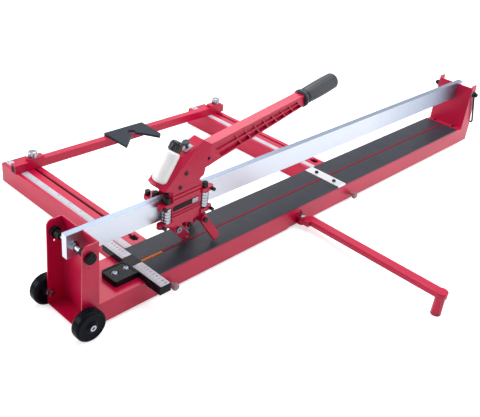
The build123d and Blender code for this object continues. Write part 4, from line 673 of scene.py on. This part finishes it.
def dress_knobs():
    """Knurls on the clamp knobs, ribs on the lock knobs and on the thumb screw of the stop."""
    for node in ("left_fence_knob", "right_fence_knob"):
        _, high, middle = corners_of(node)
        place = facing((middle.x, middle.y, high.z), (0, 0, 1))
        shape = bmesh.new()
        ridges(shape, place, radius=12.4, low=-16.5, high=-4, count=36, height=0.45, width=1.6)
        new_piece(node + "_knurl", shape, ZINC, node)
    for node in ("left_lock_screw", "right_lock_screw"):
        low, _, middle = corners_of(node)
        place = facing((middle.x, low.y, middle.z), (0, 1, 0))
        shape = bmesh.new()
        ridges(shape, place, radius=8.9, low=2.8, high=8.8, count=22, height=0.5, width=1.6)
        new_piece(node + "_ribs", shape, SMOKE, node)
    _, high, middle = corners_of("fence_stop_screw")
    place = facing((middle.x, high.y, middle.z), (0, -1, 0))
    shape = bmesh.new()
    ridges(shape, place, radius=7.9, low=2.6, high=11.6, count=20, height=0.5, width=1.6)
    new_piece("stop_knob_ribs", shape, BLACK, "fence_stop_screw")


CARRIAGE_X = -513.0
EAR_TOP = 208.3
RIGHT_RISE = 5.0  # of the right ears over the left ones
ROLLER_SPREAD = 57.0
ROLLER_Y = 19.1
ROLLER_HEAD_HEIGHT = 13.0
ROLLER_SOCKET = 4.0
REAR_BOLT_SPREAD = 66.0
REAR_BOLT_Y = 36.1
REAR_BOLT_HEIGHT = 11.0
REAR_BOLT_SOCKET = 3.0
CHEEK_TILT = radians(2.3)
LABEL_HALF_X = 38.0
LABEL_HALF_Z = 6.5
LABEL_MARGIN = 1.0
LABEL_CUT = 1.5
LABEL_LIFT = 0.15
DARK_FIELD_END = 18.0
BRIGHT_FIELD_START = 18.5


def dress_carriage():
    """Black plates of painted shade for the screw sockets on the carriage, and the two fields of its bare
    label plate.
    """
    shape = bmesh.new()
    for side in (-1, 1):
        ear_top = EAR_TOP + (RIGHT_RISE if side > 0 else 0)
        x = CARRIAGE_X + side * ROLLER_SPREAD
        for y in (-ROLLER_Y, ROLLER_Y):
            sunk_hexagon(shape, facing((x, y, ear_top + ROLLER_HEAD_HEIGHT), (0, 0, 1)), ROLLER_SOCKET)
        x = CARRIAGE_X + side * REAR_BOLT_SPREAD
        place = facing((x, REAR_BOLT_Y, ear_top + REAR_BOLT_HEIGHT), (0, 0, 1))
        sunk_hexagon(shape, place, REAR_BOLT_SOCKET)
    new_piece("pin_sockets", shape, SHADE_BLACK, "carriage")
    end = LABEL_HALF_X - LABEL_MARGIN
    new_piece("label_dark_field", label_field(-end, DARK_FIELD_END), LABEL, "carriage")
    new_piece("label_bright_field", label_field(BRIGHT_FIELD_START, end), SILVER, "carriage")


def label_field(left, right):
    """A thin raised field with cut corners on the label plate, placed from the plate's middle."""
    low, _, middle = corners_of("label_plate")
    tilt = Matrix.Rotation(-CHEEK_TILT, 4, "Y")
    top = LABEL_HALF_Z - LABEL_MARGIN
    inner_left = left + LABEL_CUT
    inner_right = right - LABEL_CUT
    inner_top = top - LABEL_CUT
    outline = [(inner_left, -top), (inner_right, -top), (right, -inner_top), (right, inner_top),
               (inner_right, top), (inner_left, top), (left, inner_top), (left, -inner_top)]
    shape = bmesh.new()
    rows = []
    for y in (low.y, low.y - LABEL_LIFT):
        row = []
        for x, z in outline:
            spot = tilt @ Vector((x, 0, z)) + Vector((middle.x, y, middle.z))
            row.append(shape.verts.new(spot * MM))
        rows.append(row)
    join_rings(shape, *rows)
    shape.faces.new(rows[1])
    return shape


def floor():
    """Pale floor that looks white and still takes a faint shadow."""
    bpy.ops.mesh.primitive_plane_add(size=30, location=(0, 0, 0))
    plane = bpy.context.object
    plane.name = "floor"
    material = bpy.data.materials.new("pale_floor")
    material.use_nodes = True
    material.node_tree.nodes.clear()
    output = add_node(material, "ShaderNodeOutputMaterial")
    diffuse = add_node(material, "ShaderNodeBsdfDiffuse", Color=(0.82, 0.82, 0.83, 1))
    glow = add_node(material, "ShaderNodeEmission", Color=(1, 1, 1, 1), Strength=0.6)
    both = add_node(material, "ShaderNodeAddShader")
    mix = add_node(material, "ShaderNodeMixShader")
    link(material, diffuse.outputs["BSDF"], both.inputs[0])
    link(material, glow.outputs["Emission"], both.inputs[1])
    link(material, seen_directly(material), mix.inputs["Fac"])
    link(material, diffuse.outputs["BSDF"], mix.inputs[1])
    link(material, both.outputs["Shader"], mix.inputs[2])
    link(material, mix.outputs["Shader"], output.inputs["Surface"])
    plane.data.materials.append(material)


def room():
    """White surroundings that light the object less than they show."""
    world = bpy.data.worlds.new("white_room")
    world.use_nodes = True
    world.node_tree.nodes.clear()
    output = add_node(world, "ShaderNodeOutputWorld")
    shown = add_node(world, "ShaderNodeBackground", Color=(1, 1, 1, 1), Strength=1.0)
    light = add_node(world, "ShaderNodeBackground", Color=(0.95, 0.97, 1, 1), Strength=0.35)
    mix = add_node(world, "ShaderNodeMixShader")
    link(world, seen_directly(world), mix.inputs["Fac"])
    link(world, light.outputs["Background"], mix.inputs[1])
    link(world, shown.outputs["Background"], mix.inputs[2])
    link(world, mix.outputs["Shader"], output.inputs["Surface"])
    bpy.context.scene.world = world


def seen_directly(owner):
    """A factor that is one for camera, glossy and transmission rays."""
    path = add_node(owner, "ShaderNodeLightPath")
    factor = path.outputs["Is Camera Ray"]
    for ray in ("Is Glossy Ray", "Is Transmission Ray"):
        larger = add_node(owner, "ShaderNodeMath", operation="MAXIMUM")
        link(owner, factor, larger.inputs[0])
        link(owner, path.outputs[ray], larger.inputs[1])
        factor = larger.outputs["Value"]
    return factor


def lamp(name, place, target, size, power):
    """Square soft lamp aimed at a point."""
    data = bpy.data.lights.new(name, "AREA")
    data.size = size
    data.energy = power
    light = bpy.data.objects.new(name, data)
    light.location = place
    aim = Vector(target) - Vector(place)
    light.rotation_euler = aim.to_track_quat("-Z", "Y").to_euler()
    bpy.context.collection.objects.link(light)


def studio():
    """Floor, white surroundings and soft lamps."""
    floor()
    room()
    lamp("top_softbox", place=(0.3, 0.1, 2.6), target=(0.1, 0, 0), size=2.4, power=66)
    lamp("back_softbox", place=(1.1, 1.9, 2.4), target=(0, 0, 0.1), size=1.4, power=22)
    lamp("front_softbox", place=(1.7, -1.9, 1.5), target=(0.45, 0, 0.1), size=1.2, power=25)
    lamp("left_softbox", place=(-2.6, 1.5, 1.2), target=(-0.45, 0.1, 0.2), size=1.4, power=36)


CAMERA_PLACE = (-1.4620, -0.9951, 0.9941)
CAMERA_AZIMUTH = radians(-49.43)
CAMERA_ELEVATION = radians(30.63)
CAMERA_ROLL = radians(6.65)
CAMERA_LENS = 52.11
CAMERA_SENSOR = 36


def camera():
    """Camera at the photograph's place, turned a little about its own axis."""
    level = cos(CAMERA_ELEVATION)
    back = Vector((sin(CAMERA_AZIMUTH) * level, -cos(CAMERA_AZIMUTH) * level, sin(CAMERA_ELEVATION)))
    right = Vector((0, 0, 1)).cross(back).normalized()
    up = back.cross(right)
    tilted_right = right * cos(CAMERA_ROLL) + up * sin(CAMERA_ROLL)
    tilted_up = up * cos(CAMERA_ROLL) - right * sin(CAMERA_ROLL)
    turn = Matrix((tilted_right, tilted_up, back)).transposed().to_4x4()
    data = bpy.data.cameras.new("camera")
    data.sensor_width = CAMERA_SENSOR
    data.sensor_fit = "HORIZONTAL"
    data.lens = CAMERA_LENS
    eye = bpy.data.objects.new("camera", data)
    eye.matrix_world = Matrix.Translation(CAMERA_PLACE) @ turn
    bpy.context.collection.objects.link(eye)
    bpy.context.scene.camera = eye


finish_nodes()
print_scales()
dress_pads()
dress_arms()
dress_left_bolts()
dress_gauge()
dress_wheels()
dress_grip()
dress_cap()
dress_knobs()
dress_carriage()
studio()
camera()
bpy.context.scene.view_settings.view_transform = "Standard"
